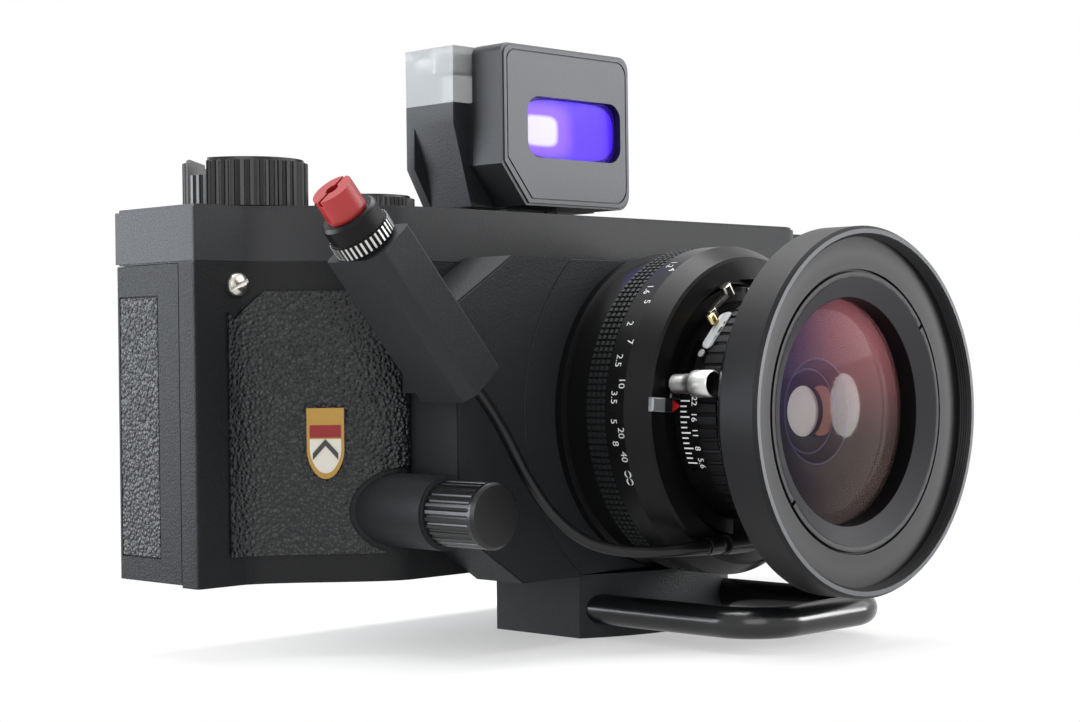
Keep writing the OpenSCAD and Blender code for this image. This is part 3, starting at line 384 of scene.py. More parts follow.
def plain(name, hex_colour, roughness, metallic=0.0, **sockets):
    """A finish of one colour whose gloss varies with a fine grit."""
    material, tree, shader = start_material(name, hex_colour, roughness, metallic, **sockets)
    place = add(tree, "ShaderNodeNewGeometry")
    grit = add(tree, "ShaderNodeTexNoise", [("Vector", place, "Position")],
               Scale=1 / (GRIT_MM * MM), Detail=3.0)
    gloss = add(tree, "ShaderNodeMapRange", [("Value", grit, "Fac")],
                To_Min=max(roughness - GRIT_SPREAD, LEAST_ROUGH), To_Max=roughness + GRIT_SPREAD)
    tree.links.new(gloss.outputs["Result"], shader.inputs["Roughness"])
    return material


# Moulded acetal: hard and slightly greasy, with clear narrow highlights on its ribs.
knob_plastic = plain("moulded_acetal", "#101011", 0.3, Specular_IOR_Level=0.42)
# Dipped gloss enamel: the shiniest black here, with a long bright line on the bow.
bow_enamel = plain("gloss_enamel", "#0f1011", 0.22, Specular_IOR_Level=0.5)
# Moulded rubber: dull, so that its studs show by shade alone.
rubber = plain("moulded_rubber", "#131516", 0.55, Specular_IOR_Level=0.3)
# Moulded polystyrene: a slightly greyer black, half glossy.
spool_plastic = plain("moulded_polystyrene", "#17181a", 0.4, Specular_IOR_Level=0.4)
dress(knob_plastic, "wind_knob", "counter_dial", "clamp_knob_left", "clamp_knob_right", "door_latch",
      "cable_tip", "cable_socket")
dress(bow_enamel, "guard_bow")
dress(spool_plastic, "take_up_spool", "supply_spool")
print("plain blacks:", [finish.name for finish in (knob_plastic, bow_enamel, rubber, spool_plastic)])

# %% [markdown]
# The small bright fittings are chromed brass, steel and anodised aluminium. Bare metals are metallic and
# keep the shader's own IOR, so that only colour and roughness tell them apart. Blackened and dyed metals
# are only partly metallic, or not at all, because a layer covers them.

# %% Metals
# Chromed brass: bright and a little warm, a small mirror for the studio.
chrome = plain("chromed_brass", "#c9c6bf", 0.24, 1.0)
# Clear anodised aluminium: white metal with a soft, silky gloss.
silver = plain("bright_anodised_aluminium", "#d2d2d0", 0.36, 1.0)
# Ground steel: greyer than chrome.
steel = plain("ground_steel", "#a9aaac", 0.3, 1.0)
# Lacquered brass: pale gold.
brass = plain("lacquered_brass", "#d9c48c", 0.25, 1.0)
# Satin chrome over a blasted surface: grey, with no mirror image.
satin_chrome = plain("satin_chromed_brass", "#8d9092", 0.5, 0.6)
# Red anodised aluminium: a deep red under a clear, sharp gloss.
red_button = plain("red_anodised_aluminium", "#8a1b1c", 0.22)
# Chemically blackened steel: dull black with a trace of metal.
film_black = plain("blackened_steel", "#0f0f10", 0.5, 0.3)
dress(chrome, "strap_studs", "cocking_lever", "release_lever", "sync_terminal")
dress(silver, "aperture_lever")
dress(steel, "hinge_pin", "foot_screws", "roller_left", "roller_right", "wind_shaft", "supply_pins",
      "pressure_springs")
dress(red_button, "release_button")
dress(film_black, "film_gate", "pressure_plate", "shutter_blades")
print("metals:", [metal.name for metal in (chrome, silver, steel, brass, satin_chrome, red_button, film_black)])

# %% [markdown]
# Two leaf springs hold the pressure plate against the film. Each is a strip of spring steel, flat where it
# is riveted to the rear cover and curled up a little at the tip, so that it slides on the plate without
# scratching it. When the plate gives way the tips go back with it, but here the strips are baked in place and
# follow neither body.

# %% Leaf springs
spring_low, spring_high, spring_mid = box("pressure_springs")
LEAF_T, LEAF_HALF = 0.45, 6.0
LEAF_X = 30
LEAF_STEPS = 4
LEAF_POINTS = [(-13.8, spring_high.y - 0.25, 0), (-9, spring_high.y - 0.25, 0), (-5, spring_high.y - 0.3, 0),
               (2.5, spring_mid.y, 0), (9.5, spring_low.y + 0.4, 0), (12, spring_low.y + 0.25, 0),
               (13.8, spring_low.y + 0.4, 0)]
leaf_line = spline(LEAF_POINTS, LEAF_STEPS)


def leaf(x):
    """One strip along its curve, with a flat section."""
    points, last = [], len(leaf_line) - 1
    for i, p in enumerate(leaf_line):
        run = (leaf_line[min(i + 1, last)] - leaf_line[max(i - 1, 0)]).normalized()
        thick = Vector((-run.y, run.x, 0)) * LEAF_T / 2
        for side, z in ((-1, -LEAF_HALF), (1, -LEAF_HALF), (1, LEAF_HALF), (-1, LEAF_HALF)):
            points.append(p + thick * side + Vector((x, 0, spring_mid.z + z)))
    ends = [(3, 2, 1, 0), tuple(4 * last + k for k in range(4))]
    return points, ring_faces(len(leaf_line), 4) + ends


springs = new_piece("leaf_springs", *joined([leaf(-LEAF_X), leaf(LEAF_X)]), steel, None, smooth=False)
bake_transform(springs)
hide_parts("pressure_springs")
print("leaf springs", round(spring_high.y - spring_low.y, 1), "mm high")

# %% [markdown]
# Everything on the lens is turned about one axis, so most of its fine pieces come from a small lathe:
# a profile of (radius, place along Y) swept round the lens axis. A screw modifier could sweep it too, but
# it turns about the object's own origin, which lies on the floor here. The axis and the faces that the
# profiles start from are read from the solids.

# %% Lathe and lens places
ring_low, ring_high, ring_mid = box("front_ring")
focus_low, focus_high, _ = box("focus_ring")
shutter_low, shutter_high, _ = box("shutter_body")
glass_low, glass_high, _ = box("front_glass")
AXIS_Z = ring_mid.z
LENS_Y = ring_low.y
FOCUS_R = (focus_high.x - focus_low.x) / 2
SHUTTER_R = (shutter_high.x - shutter_low.x) / 2
GLASS_R = (glass_high.x - glass_low.x) / 2
LATHE_SIDES = 120
AXIS_R = 0.02  # the radius at which a turned face closes, so that it has no doubled points


def round_point(radius, degrees, y):
    """A point on a cylinder about the lens axis; 0 degrees is at the left, 90 at the top."""
    a = math.radians(degrees)
    return Vector((-radius * math.cos(a), y, AXIS_Z + radius * math.sin(a)))


def lathe(profile, sides=LATHE_SIDES):
    """Points and faces of a profile of (radius, y) turned about the lens axis."""
    points = [round_point(r, 360 * k / sides, y) for r, y in profile for k in range(sides)]
    return points, ring_faces(len(profile), sides, flip=True)


print("lens front at", round(LENS_Y, 1), "mm, axis at", round(AXIS_Z, 1), "mm")

# %% [markdown]
# The focusing ring is gripped by a rubber band moulded with four rows of small square studs. Each stud
# narrows towards its top, so light picks out a bright top and dark sides. A bump pattern would be lighter,
# but the studs show on the ring's outline, so they are real.

# %% Studded rubber grip
STUD_ROWS = 4
STUDS_ROUND = 160
BAND_BACK = focus_high.y - 0.9
BAND_WIDTH = 7.5
STUD_HEIGHT, STUD_SUNK = 0.85, 0.05
STUD_FOOT, STUD_TOP = 0.44, 0.3  # half widths, as shares of the spacing
band_r = FOCUS_R - 0.95
stud_pitch = 360 / STUDS_ROUND
row_width = BAND_WIDTH / STUD_ROWS


def stud(degrees, y):
    """A square stud with tapering sides, standing on the band."""
    points = []
    for r, share in ((band_r - STUD_SUNK, STUD_FOOT), (band_r + STUD_HEIGHT, STUD_TOP)):
        for i, j in ((-1, -1), (1, -1), (1, 1), (-1, 1)):
            points.append(round_point(r, degrees + share * stud_pitch * i, y + share * row_width * j))
    return points, [(4, 5, 6, 7)] + ring_faces(2, 4)


studs = [stud(k * stud_pitch, BAND_BACK - (row + 0.5) * row_width)
         for row in range(STUD_ROWS) for k in range(STUDS_ROUND)]
band = lathe([(band_r, BAND_BACK), (band_r, BAND_BACK - BAND_WIDTH)], STUDS_ROUND)
grip = new_piece("studded_grip", *joined([band] + studs), rubber, "focus", smooth=False)
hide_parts("focus_grip")
print("studs on the grip:", len(studs))

# %% [markdown]
# The engraved scales are cut lines and numbers filled with paint. A number is drawn with Blender's own
# letter shapes, laid flat, and then wrapped on the cylinder so that its top points to the front of the
# lens. Cutting the metal would need a boolean for each number, and at this size the eye sees only the paint.

# %% Numbers and ticks
PAINT = 0.06  # how far the paint stands off the metal, so that the two faces don't flicker
NUMBER_CURVE = 3
# Paint wiped into the cuts: dull, and greyish where the cut is shallow.
engraving = plain("engraving_paint", "#bfc1c1", 0.6)
# The same paint, fresh and thick: a clear white.
bright_engraving = plain("white_engraving_paint", "#f0f1f0", 0.6)
# Red paint for the index: dull, and bright enough to find at a glance.
red_paint = plain("red_engraving_paint", "#c8262a", 0.5)


def flat_number(text, size):
    """Points and faces of a number, centred, in the XY plane."""
    curve = bpy.data.curves.new("number", "FONT")
    curve.body, curve.size, curve.resolution_u = text, size, NUMBER_CURVE
    curve.align_x = curve.align_y = "CENTER"
    holder = bpy.data.objects.new("number", curve)
    mesh = bpy.data.meshes.new_from_object(holder)
    points = [v.co.copy() for v in mesh.vertices]
    faces = [tuple(p.vertices) for p in mesh.polygons]
    bpy.data.objects.remove(holder)
    bpy.data.curves.remove(curve)
    bpy.data.meshes.remove(mesh)
    return points, faces


def wrapped_number(text, size, radius, degrees, y):
    """A number on a cylinder, read downwards at the left side of the lens."""
    points, faces = flat_number(text, size)
    return [round_point(radius, degrees - math.degrees(p.x / radius), y - p.y) for p in points], faces


def tick(radius, degrees, y0, y1, width):
    """A thin line along Y on a cylinder."""
    half = math.degrees(width / 2 / radius)
    places = [(degrees - half, y0), (degrees + half, y0), (degrees + half, y1), (degrees - half, y1)]
    return [round_point(radius, a, y) for a, y in places], [(3, 2, 1, 0)]


print("a number 8 has", len(flat_number("8", 1)[0]), "points")

# %% [markdown]
# The focusing ring carries two rows of distances, metres nearer the grip and feet nearer the front. The
# sign for endless distance isn't in every font, so it is drawn as two small loops side by side.

# %% Distance scale
NUMBER_SIZE = 3.1
SCALE_R = FOCUS_R + PAINT
METRE_ROW, FOOT_ROW = focus_high.y - 11.4, focus_high.y - 13.8
METRES = {"1.2": 62, "1.6": 47, "2": 32, "2.5": 18.3, "3.5": 5.8, "5": -2.2, "8": -9.6}
FEET = {"4": 58, "5": 41, "7": 25, "10": 10.6, "20": -6, "40": -14.1}
ENDLESS_ANGLE = -21.6
LOOP_R, LOOP_POINTS = 1.1, 16
LOOP_OUTER, LOOP_INNER = LOOP_R * 1.1, LOOP_R * 0.6
distances = [wrapped_number(n, NUMBER_SIZE, SCALE_R, a, METRE_ROW) for n, a in METRES.items()]
distances += [wrapped_number(n, NUMBER_SIZE, SCALE_R, a, FOOT_ROW) for n, a in FEET.items()]
for side in (-1, 1):
    loop = []
    for r in (LOOP_OUTER, LOOP_INNER):
        for t in [2 * math.pi * k / LOOP_POINTS for k in range(LOOP_POINTS)]:
            along_ring = math.degrees((side * LOOP_R + LOOP_R * math.cos(t)) / FOCUS_R)
            loop.append(round_point(SCALE_R, ENDLESS_ANGLE + along_ring, FOOT_ROW + r * math.sin(t)))
    distances.append((loop, ring_faces(2, LOOP_POINTS)))
new_piece("distance_scale", *joined(distances), engraving, "focus", smooth=False)
print("distances:", len(METRES) + len(FEET) + 1)

# %% [markdown]
# The aperture numbers stand on a short black sleeve that lies on the shutter's casing and turns with the
# lever, past a red index that is fixed. The sleeve is a thin curved sheet, a hair proud of the casing, with
# three ticks for each stop.

# %% Aperture scale
APERTURES = {"5.6": -25.6, "8": -17.6, "11": -9.6, "16": -1.6, "22": 6.4}
STOP_SIZE, STOP_ROW = 2.7, shutter_high.y - 8.1
STOP_STEP, TICKS_PER_STOP = 8, 3
TICK_BACK = shutter_high.y - 3.4
TICK_LONG, TICK_SHORT, TICK_WIDTH = 3.2, 2.2, 0.42
SLEEVE_R = SHUTTER_R + 0.08
SLEEVE_DEPTHS = (3.0, 9.45)
POINTER = ((3.8, 3.6), (0.6, 0.7), (7.0, 0.7))  # angle and depth of its tip and of its two corners
POINTER_RISE = 0.3

sleeve_angles = [-28.4 + k for k in range(40)]
sleeve = [round_point(SLEEVE_R, a, shutter_high.y - d) for d in SLEEVE_DEPTHS for a in sleeve_angles]
across = len(sleeve_angles)
sleeve_faces = [(k, k + 1, across + 1 + k, across + k) for k in range(across - 1)]
new_piece("aperture_sleeve", sleeve, sleeve_faces, painted_shade_anodised, "aperture")
stops = [wrapped_number(n, STOP_SIZE, SLEEVE_R + PAINT, a, STOP_ROW) for n, a in APERTURES.items()]
for k in range((len(APERTURES) - 1) * TICKS_PER_STOP + 1):
    reach = TICK_LONG if k % TICKS_PER_STOP == 0 else TICK_SHORT
    angle = APERTURES["5.6"] + STOP_STEP / TICKS_PER_STOP * k
    stops.append(tick(SLEEVE_R + PAINT, angle, TICK_BACK, TICK_BACK - reach, TICK_WIDTH))
new_piece("aperture_scale", *joined(stops), bright_engraving, "aperture", smooth=False)
pointer = [round_point(SLEEVE_R + POINTER_RISE, a, shutter_high.y - d) for a, d in POINTER]
new_piece("aperture_index", pointer, [(0, 1, 2)], red_paint, "lens", smooth=False)
print("apertures:", len(APERTURES), "with ticks:", len(stops) - len(APERTURES))

# %% [markdown]
# The aperture lever ends in a bright turned barrel with a black, dished cap. It is a profile turned about
# its own axis, like a piece on a watchmaker's lathe, with narrow bevels that catch the light.

# %% Knob of the aperture lever
KNOB_SIDES = 48
LEVER_R, LEVER_ANGLE = SHUTTER_R + 5.5, 13.0
KNOB_REACH = 5.0
BARREL = [(3.3, 0), (3.7, 0.5), (3.7, 6.0), (3.5, 6.6), (2.7, 7.4), (2.7, 9.6)]  # radius, depth
CAP = [(AXIS_R, 0.9), (2.6, 0.7), (2.9, 0.1), (3.3, 0)]


def turned_knob(middle, front, profile):
    """A profile of (radius, depth behind its front) turned about an axis along Y."""
    angles = [2 * math.pi * k / KNOB_SIDES for k in range(KNOB_SIDES)]
    points = [Vector((middle.x + r * math.cos(t), front + d, middle.z + r * math.sin(t)))
              for r, d in profile for t in angles]
    return points, ring_faces(len(profile), KNOB_SIDES)


lever_middle = round_point(LEVER_R, LEVER_ANGLE, 0)
knob_front = box("aperture_lever")[0].y - KNOB_REACH
new_piece("aperture_knob", *turned_knob(lever_middle, knob_front, BARREL), silver, "aperture")
new_piece("aperture_knob_cap", *turned_knob(lever_middle, knob_front, CAP), knob_plastic, "aperture")
print("lever knob at", [round(c, 1) for c in lever_middle])

# %% [markdown]
# Beside the red index a small bar lies on the front of the focusing ring, half bright and half black. It
# belongs to the lens, so a thin arm joins it to the shutter. A bar with three levels of points has a bevel
# of its own, so it needs no modifier.

# %% Index bar
BAR_FACE = focus_low.y - 0.05
BAR_ANGLE, BAR_HALF = 3.8, 1.9
BAR_INNER, BAR_SPLIT, BAR_OUTER = 34.2, 38.4, 43.8
ARM_INNER, ARM_OUTER, ARM_ANGLE, ARM_HALF = 31.25, 35.4, 8.2, 0.8
THICK_BAR, THIN_BAR = 1.5, 0.5
BEVEL = 0.4


def radial_bar(r0, r1, degrees, half_width, thickness):
    """A bevelled bar lying along a radius of the lens, on the front of the focusing ring."""
    out = round_point(1, degrees, 0) - round_point(0, degrees, 0)
    side = Vector((-out.z, 0, out.x))
    start = round_point(0, 0, 0)
    top = BAR_FACE - thickness
    points = []
    for y, cut in ((BAR_FACE, 0), (top + BEVEL, 0), (top, BEVEL)):
        for r, s in ((r0 + cut, -1), (r1 - cut, -1), (r1 - cut, 1), (r0 + cut, 1)):
            points.append(start + out * r + side * s * (half_width - cut) + Vector((0, y, 0)))
    return points, [(8, 9, 10, 11)] + ring_faces(3, 4)


bright_bar = radial_bar(BAR_SPLIT, BAR_OUTER, BAR_ANGLE, BAR_HALF, THICK_BAR)
black_bar = [radial_bar(BAR_INNER, BAR_SPLIT, BAR_ANGLE, BAR_HALF, THIN_BAR),
             radial_bar(ARM_INNER, ARM_OUTER, ARM_ANGLE, ARM_HALF, THIN_BAR)]
new_piece("index_bar_bright", *bright_bar, satin_chrome, "lens", smooth=False)
new_piece("index_bar_black", *joined(black_bar), knob_plastic, "lens", smooth=False)
print("index bar", round(BAR_OUTER - BAR_INNER, 1), "mm long")

# %% [markdown]
# On top of the shutter's casing lie a bright plate with round ends, a gilt pin and a screw head. They
# are milled from sheet and follow the casing's curve, so an outline is wrapped on the cylinder and raised.

# %% Press plate, pin and screw
PLATE_R = SHUTTER_R + 1.3
PLATE_T = 0.4
END_POINTS = 9
PLATE_FROM, PLATE_TO, PLATE_HALF, PLATE_Y = 36, 54, 1.9, shutter_high.y - 9.6
SCREW_FROM, SCREW_TO, SCREW_HALF, SCREW_Y = 30, 30.2, 1.1, shutter_high.y - 8.6
PIN_ANGLE, PIN_Y, PIN_SIDES = 50, shutter_high.y - 6.8, 24
PIN_HEIGHTS, PIN_RADII = (0, 0.4, 2.4, 2.7), (1.7, 1.4, 1.4, 1.0)


def casing_plate(from_degrees, to_degrees, half_width, y):
    """A curved plate with round ends lying on the shutter's casing."""
    outline = []
    for end, side in ((from_degrees, 1), (to_degrees, -1)):
        for k in range(END_POINTS):
            t = math.pi * (k / (END_POINTS - 1) - 0.5)
            reach = math.degrees(half_width * math.cos(t) / PLATE_R)
            outline.append((end - side * reach, y + side * half_width * math.sin(t)))
    count = len(outline)
    points = [round_point(PLATE_R + h, a, v) for h in (0, PLATE_T) for a, v in outline]
    return points, [tuple(range(count, 2 * count))] + ring_faces(2, count)


plate = casing_plate(PLATE_FROM, PLATE_TO, PLATE_HALF, PLATE_Y)
screw = casing_plate(SCREW_FROM, SCREW_TO, SCREW_HALF, SCREW_Y)
pin = tube([round_point(PLATE_R + h, PIN_ANGLE, PIN_Y) for h in PIN_HEIGHTS], PIN_RADII, PIN_SIDES)
new_piece("press_plate", *plate, satin_chrome, "lens", smooth=False)
new_piece("press_pin", *pin, brass, "lens")
new_piece("press_screw", *screw, silver, "lens", smooth=False)
print("fittings on the casing at radius", round(PLATE_R, 1), "mm")

# %% [markdown]
# The front ring has a filter thread inside its wall, a funnel in a lighter grey of painted light that leads to the
# glass, and a rim with a painted highlight in mid grey. The thread is cut as real grooves, each a saw-tooth in the
# turned profile. A helix would look the same from here and needs many more faces.

# %% Filter thread and front ring
RING_WALL = 2.5
THREADS = 4
THREAD_PITCH, THREAD_START, THREAD_DEPTH, THREAD_PROUD = 0.75, 0.7, 0.3, 0.02
FUNNEL_R = 36.3
filter_r = (ring_high.x - ring_low.x) / 2 - RING_WALL
ring_r = filter_r + RING_WALL
# A lighter grey copy of the ring's anodising on the funnel: painted light on the cone, a dark grey that shades
# softly.
funnel_painted_light = turned_black("funnel_anodising_painted_light", "#242427", 0.45)
# A mid grey line round the rim: a painted highlight on its edge.
rim_painted_highlight = turned_black("rim_anodising_painted_highlight", "#505154", 0.4)


def lens_ring(name, profile, material, smooth=True, sides=LATHE_SIDES):
    """A turned piece on the lens, from (radius, depth behind the lens front)."""
    return new_piece(name, *lathe([(r, LENS_Y + d) for r, d in profile], sides), material, "lens", smooth)


thread = []
for k in range(THREADS):
    depth = THREAD_START + k * THREAD_PITCH
    thread += [(filter_r + THREAD_PROUD, depth), (filter_r - THREAD_DEPTH, depth + THREAD_PITCH / 2)]
thread.append((filter_r + THREAD_PROUD, THREAD_START + THREADS * THREAD_PITCH))
lens_ring("filter_thread", thread[::-1], anodised_satin, smooth=False)
lens_ring("ring_funnel", [(FUNNEL_R, 4.15), (GLASS_R + 0.1, 7.1)], funnel_painted_light, smooth=False)
# The cell wall is black as painted shade inside the ring.
lens_ring("cell_wall", [(GLASS_R - 0.02, 7.2), (GLASS_R - 0.02, 12.3)], painted_shade_anodised)
lens_ring("ring_rim", [(ring_r - 0.8, -0.03), (ring_r - 2.0, -0.03)], rim_painted_highlight, smooth=False)
print("thread turns:", THREADS, "at radius", round(filter_r, 1), "mm")

# %% [markdown]
# What the eye sees in a coated lens is a tinted surface with coloured reflections and darker cells behind it.
# A true stack of clear elements would show the same only with many light bounces. Here the tint and painted
# reflections are in the colour: it runs from rose at the top, a painted reflection of the light, to brown below,
# and to violet at the left, by the place on the glass, so it stays where it is when the camera moves.

# %% Coated glass with painted reflections
COATING_LOW, COATING_RIGHT = 0.4, 0.3  # where the tint starts below and ends at the right, as shares


def coated(name, right_colours, left_colours, centre, reach, alpha=1.0, roughness=0.03, specular=0.35):
    """Glass with a (top, bottom) pair of tints at the right and one at the left; the tints carry painted light."""
    material, tree, shader = start_material(name, right_colours[0], roughness,
                                            Specular_IOR_Level=specular, Alpha=alpha)
    place = add(tree, "ShaderNodeNewGeometry")
    axis = add(tree, "ShaderNodeSeparateXYZ", [("Vector", place, "Position")])
    height = add(tree, "ShaderNodeMapRange", [("Value", axis, "Z")], interpolation_type="SMOOTHSTEP",
                 From_Min=(centre.z - COATING_LOW * reach) * MM, From_Max=(centre.z + reach) * MM)
    side = add(tree, "ShaderNodeMapRange", [("Value", axis, "X")], interpolation_type="SMOOTHSTEP",
               From_Min=(centre.x - reach) * MM, From_Max=(centre.x + reach * COATING_RIGHT) * MM)
    columns = [add(tree, "ShaderNodeMix", [("Factor", height, "Result")], data_type="RGBA",
                   A=linear(bottom), B=linear(top)) for top, bottom in (left_colours, right_colours)]
    tint = add(tree, "ShaderNodeMix", [("Factor", side, "Result"), ("A", columns[0], "Result"),
                                       ("B", columns[1], "Result")], data_type="RGBA")
    tree.links.new(tint.outputs["Result"], shader.inputs["Base Color"])
    return material


LENS_MIDDLE = Vector((0, 0, AXIS_Z))
FRONT_REACH, INNER_REACH = 26, 14
# Coated optical glass: half clear, rose to violet, with painted reflections in its tint and weak soft reflections.
lens_tint_painted_reflection = coated("coated_glass_painted_reflection", ("#8c555a", "#453937"), ("#281648", "#100b1c"), LENS_MIDDLE,
                      FRONT_REACH, 0.55, 0.07, 0.14)
# Black tubes seen through that coating: the same tints and painted reflections, darker and dull.
tube_painted_reflection = coated("inner_cell_painted_reflection", ("#66393e", "#352b2a"), ("#1c1036", "#090714"), LENS_MIDDLE,
                   FRONT_REACH, 1.0, 0.5, 0.2)
# A second coated element: nearly black violet, with the same painted reflections, fainter.
inner_glass_painted_reflection = coated("second_element_painted_reflection", ("#221828", "#150f1a"), ("#140f30", "#080818"), LENS_MIDDLE,
                       INNER_REACH, 1.0, 0.5)
print("coatings:", [glass.name for glass in (lens_tint_painted_reflection, tube_painted_reflection, inner_glass_painted_reflection)])

# %% [markdown]
# The front element is a shallow dome of ground and polished glass. It is turned like the rest, with
# enough rings for a smooth reflection, and takes the place of the plain solid.

# %% Front element
DOME_R = 2.7 * GLASS_R
DOME_RINGS = 24
dome = [(AXIS_R, glass_low.y)]
for k in reversed(range(DOME_RINGS)):
    r = GLASS_R * (1 - k / DOME_RINGS)
    dome.append((r, glass_low.y + DOME_R - math.sqrt(DOME_R ** 2 - r ** 2)))
front_glass = new_piece("front_element", *lathe(dome), lens_tint_painted_reflection, "lens")
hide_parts("front_glass")
print("front element", round(2 * GLASS_R, 1), "mm across")

# %% [markdown]
# Behind the dome lie stepped black tubes, two ground edges, a dark inner element and a pale disc of painted
# light, where light comes through the lens. Over the pale disc stands an amber reflex, a painted reflection in a
# crescent where two coatings mirror each other. All of it is plain turned shapes behind one tinted glass.

# %% Lens cells
CELL_R, PUPIL_R = 14.5, 7.0
CELL_DEPTH, PUPIL_DEPTH = 18.5, 23.2
PUPIL_SIDES = 64
CELL_RINGS = ((CELL_R, CELL_DEPTH), (11.6, CELL_DEPTH + 3.0))
# Painted light through the lens: an almost white disc, with no sharp edge.
painted_light_disc = plain("pupil_painted_light", "#fdf3ee", 0.5)
# A ground glass edge: a thin grey-violet line.
cell_edge = plain("ground_cell_edge", "#4d486a", 0.5)

lens_ring("front_cell", [(GLASS_R, 13.6), (GLASS_R - 4, 14.6), (GLASS_R - 4.2, 15.4), (22, 16.4), (21.8, 17.0),
                         (CELL_R + 1.2, CELL_DEPTH - 0.4), (CELL_R, CELL_DEPTH)], tube_painted_reflection)
edges = [lathe([(r + 0.25, LENS_Y + d - 0.12), (r, LENS_Y + d - 0.3), (r - 0.25, LENS_Y + d - 0.12)])
         for r, d in CELL_RINGS]
new_piece("cell_edges", *joined(edges), cell_edge, "lens")
lens_ring("inner_element", [(CELL_R, CELL_DEPTH), (CELL_R - 0.8, CELL_DEPTH + 2),
                            (PUPIL_R + 2, PUPIL_DEPTH - 0.4), (PUPIL_R, PUPIL_DEPTH)], inner_glass_painted_reflection)
lens_ring("pupil", [(AXIS_R, PUPIL_DEPTH - 0.8), (PUPIL_R * 0.6, PUPIL_DEPTH - 0.5), (PUPIL_R, PUPIL_DEPTH)],
          painted_light_disc, sides=PUPIL_SIDES)
print("lens cells down to", PUPIL_DEPTH, "mm behind the front")

# %% [markdown]
# The crescent lies between two circles of the pupil's size, one shifted to the right. Points are spread
# along both arcs from one meeting point to the other, and quads join them.

# %% Amber reflex
CRESCENT = 24
CRESCENT_SHIFT = 6.0
CRESCENT_RISE = 1.6
# A painted amber reflection between coatings: a dull orange brown.
amber = plain("amber_painted_reflection", "#9a5230", 0.5)
meet = math.acos(CRESCENT_SHIFT / 2 / PUPIL_R)
shares = [2 * k / CRESCENT - 1 for k in range(CRESCENT + 1)]
arcs = [(shift + PUPIL_R * math.cos(s * sweep), PUPIL_R * math.sin(s * sweep))
        for shift, sweep in ((CRESCENT_SHIFT, math.pi - meet), (0, meet)) for s in shares]
crescent = [Vector((x, LENS_Y + PUPIL_DEPTH - CRESCENT_RISE, AXIS_Z + z)) for x, z in arcs]
crescent_faces = [(k, k + 1, CRESCENT + 2 + k, CRESCENT + 1 + k) for k in range(CRESCENT)]
new_piece("amber_reflex", crescent, crescent_faces, amber, "lens")
print("reflex", round(2 * PUPIL_R, 1), "mm high")

# %% [markdown]
# The finder's front window is a pane with a violet coating, and the level on top of the finder is a block
# of clear acrylic with a small round vial. Clear blocks let light through, but a fully clear one
# shows little more than its edges, so each keeps a share of plain colour.

# %% Finder glass and level
window_low, window_high, window_mid = box("finder_window")
window_w, window_h = window_high.x - window_low.x, window_high.z - window_low.z
VIOLET, GLOW_VIOLET = "#5a30ff", "#7d5cff"
WINDOW_REACH = 16
# A vapour coating on glass: a strong violet, mostly clear, paler at the top left as painted glow.
window_coating = coated("violet_coated_glass", (VIOLET, VIOLET), (GLOW_VIOLET, VIOLET), window_mid,
                        WINDOW_REACH, 0.3, 0.06)
# Polished optical glass, slightly green: clear, with sharp reflections.
rear_optic, _, _ = start_material("rear_optical_glass", "#b8d0c0", 0.02, IOR=1.6, Transmission_Weight=1.0)
# Cast acrylic with sawn and polished sides: milky clear. A lower IOR than the usual 1.49 keeps it pale.
acrylic, _, _ = start_material("cast_acrylic", "#b4b6b6", 0.12, IOR=1.3, Transmission_Weight=0.55)
# A glass vial full of spirit: pale yellow green.
vial_glass, _, _ = start_material("vial_glass", "#dfe3cf", 0.05, IOR=1.4, Transmission_Weight=0.6)
dress(window_coating, "finder_window")
dress(rear_optic, "rear_glass")
dress(acrylic, "finder_level")
dress(vial_glass, "level_vial")
print("finder window", round(window_w, 1), "x", round(window_h, 1), "mm")

# %% [markdown]
# Behind the pane sits one coated prism, which shows as violet with a soft white glow. On the real finder
# the glow is light that comes through several lenses, which would take many clear pieces. Here it is painted
# glow in the glass: a soft square of white in a paler halo, measured as shares of the window. A little emission
# makes the whole face glow, though it is no lamp, and keeps it bright in its recess.

# %% Painted glow of the finder's prism
GLOW_PLACE, GLOW_HALF = (0.2, 0.46), (0.17, 0.24)
CORE_FROM, CORE_TO = 0.75, 1.4
HALO_FROM, HALO_TO = 1.0, 5.5


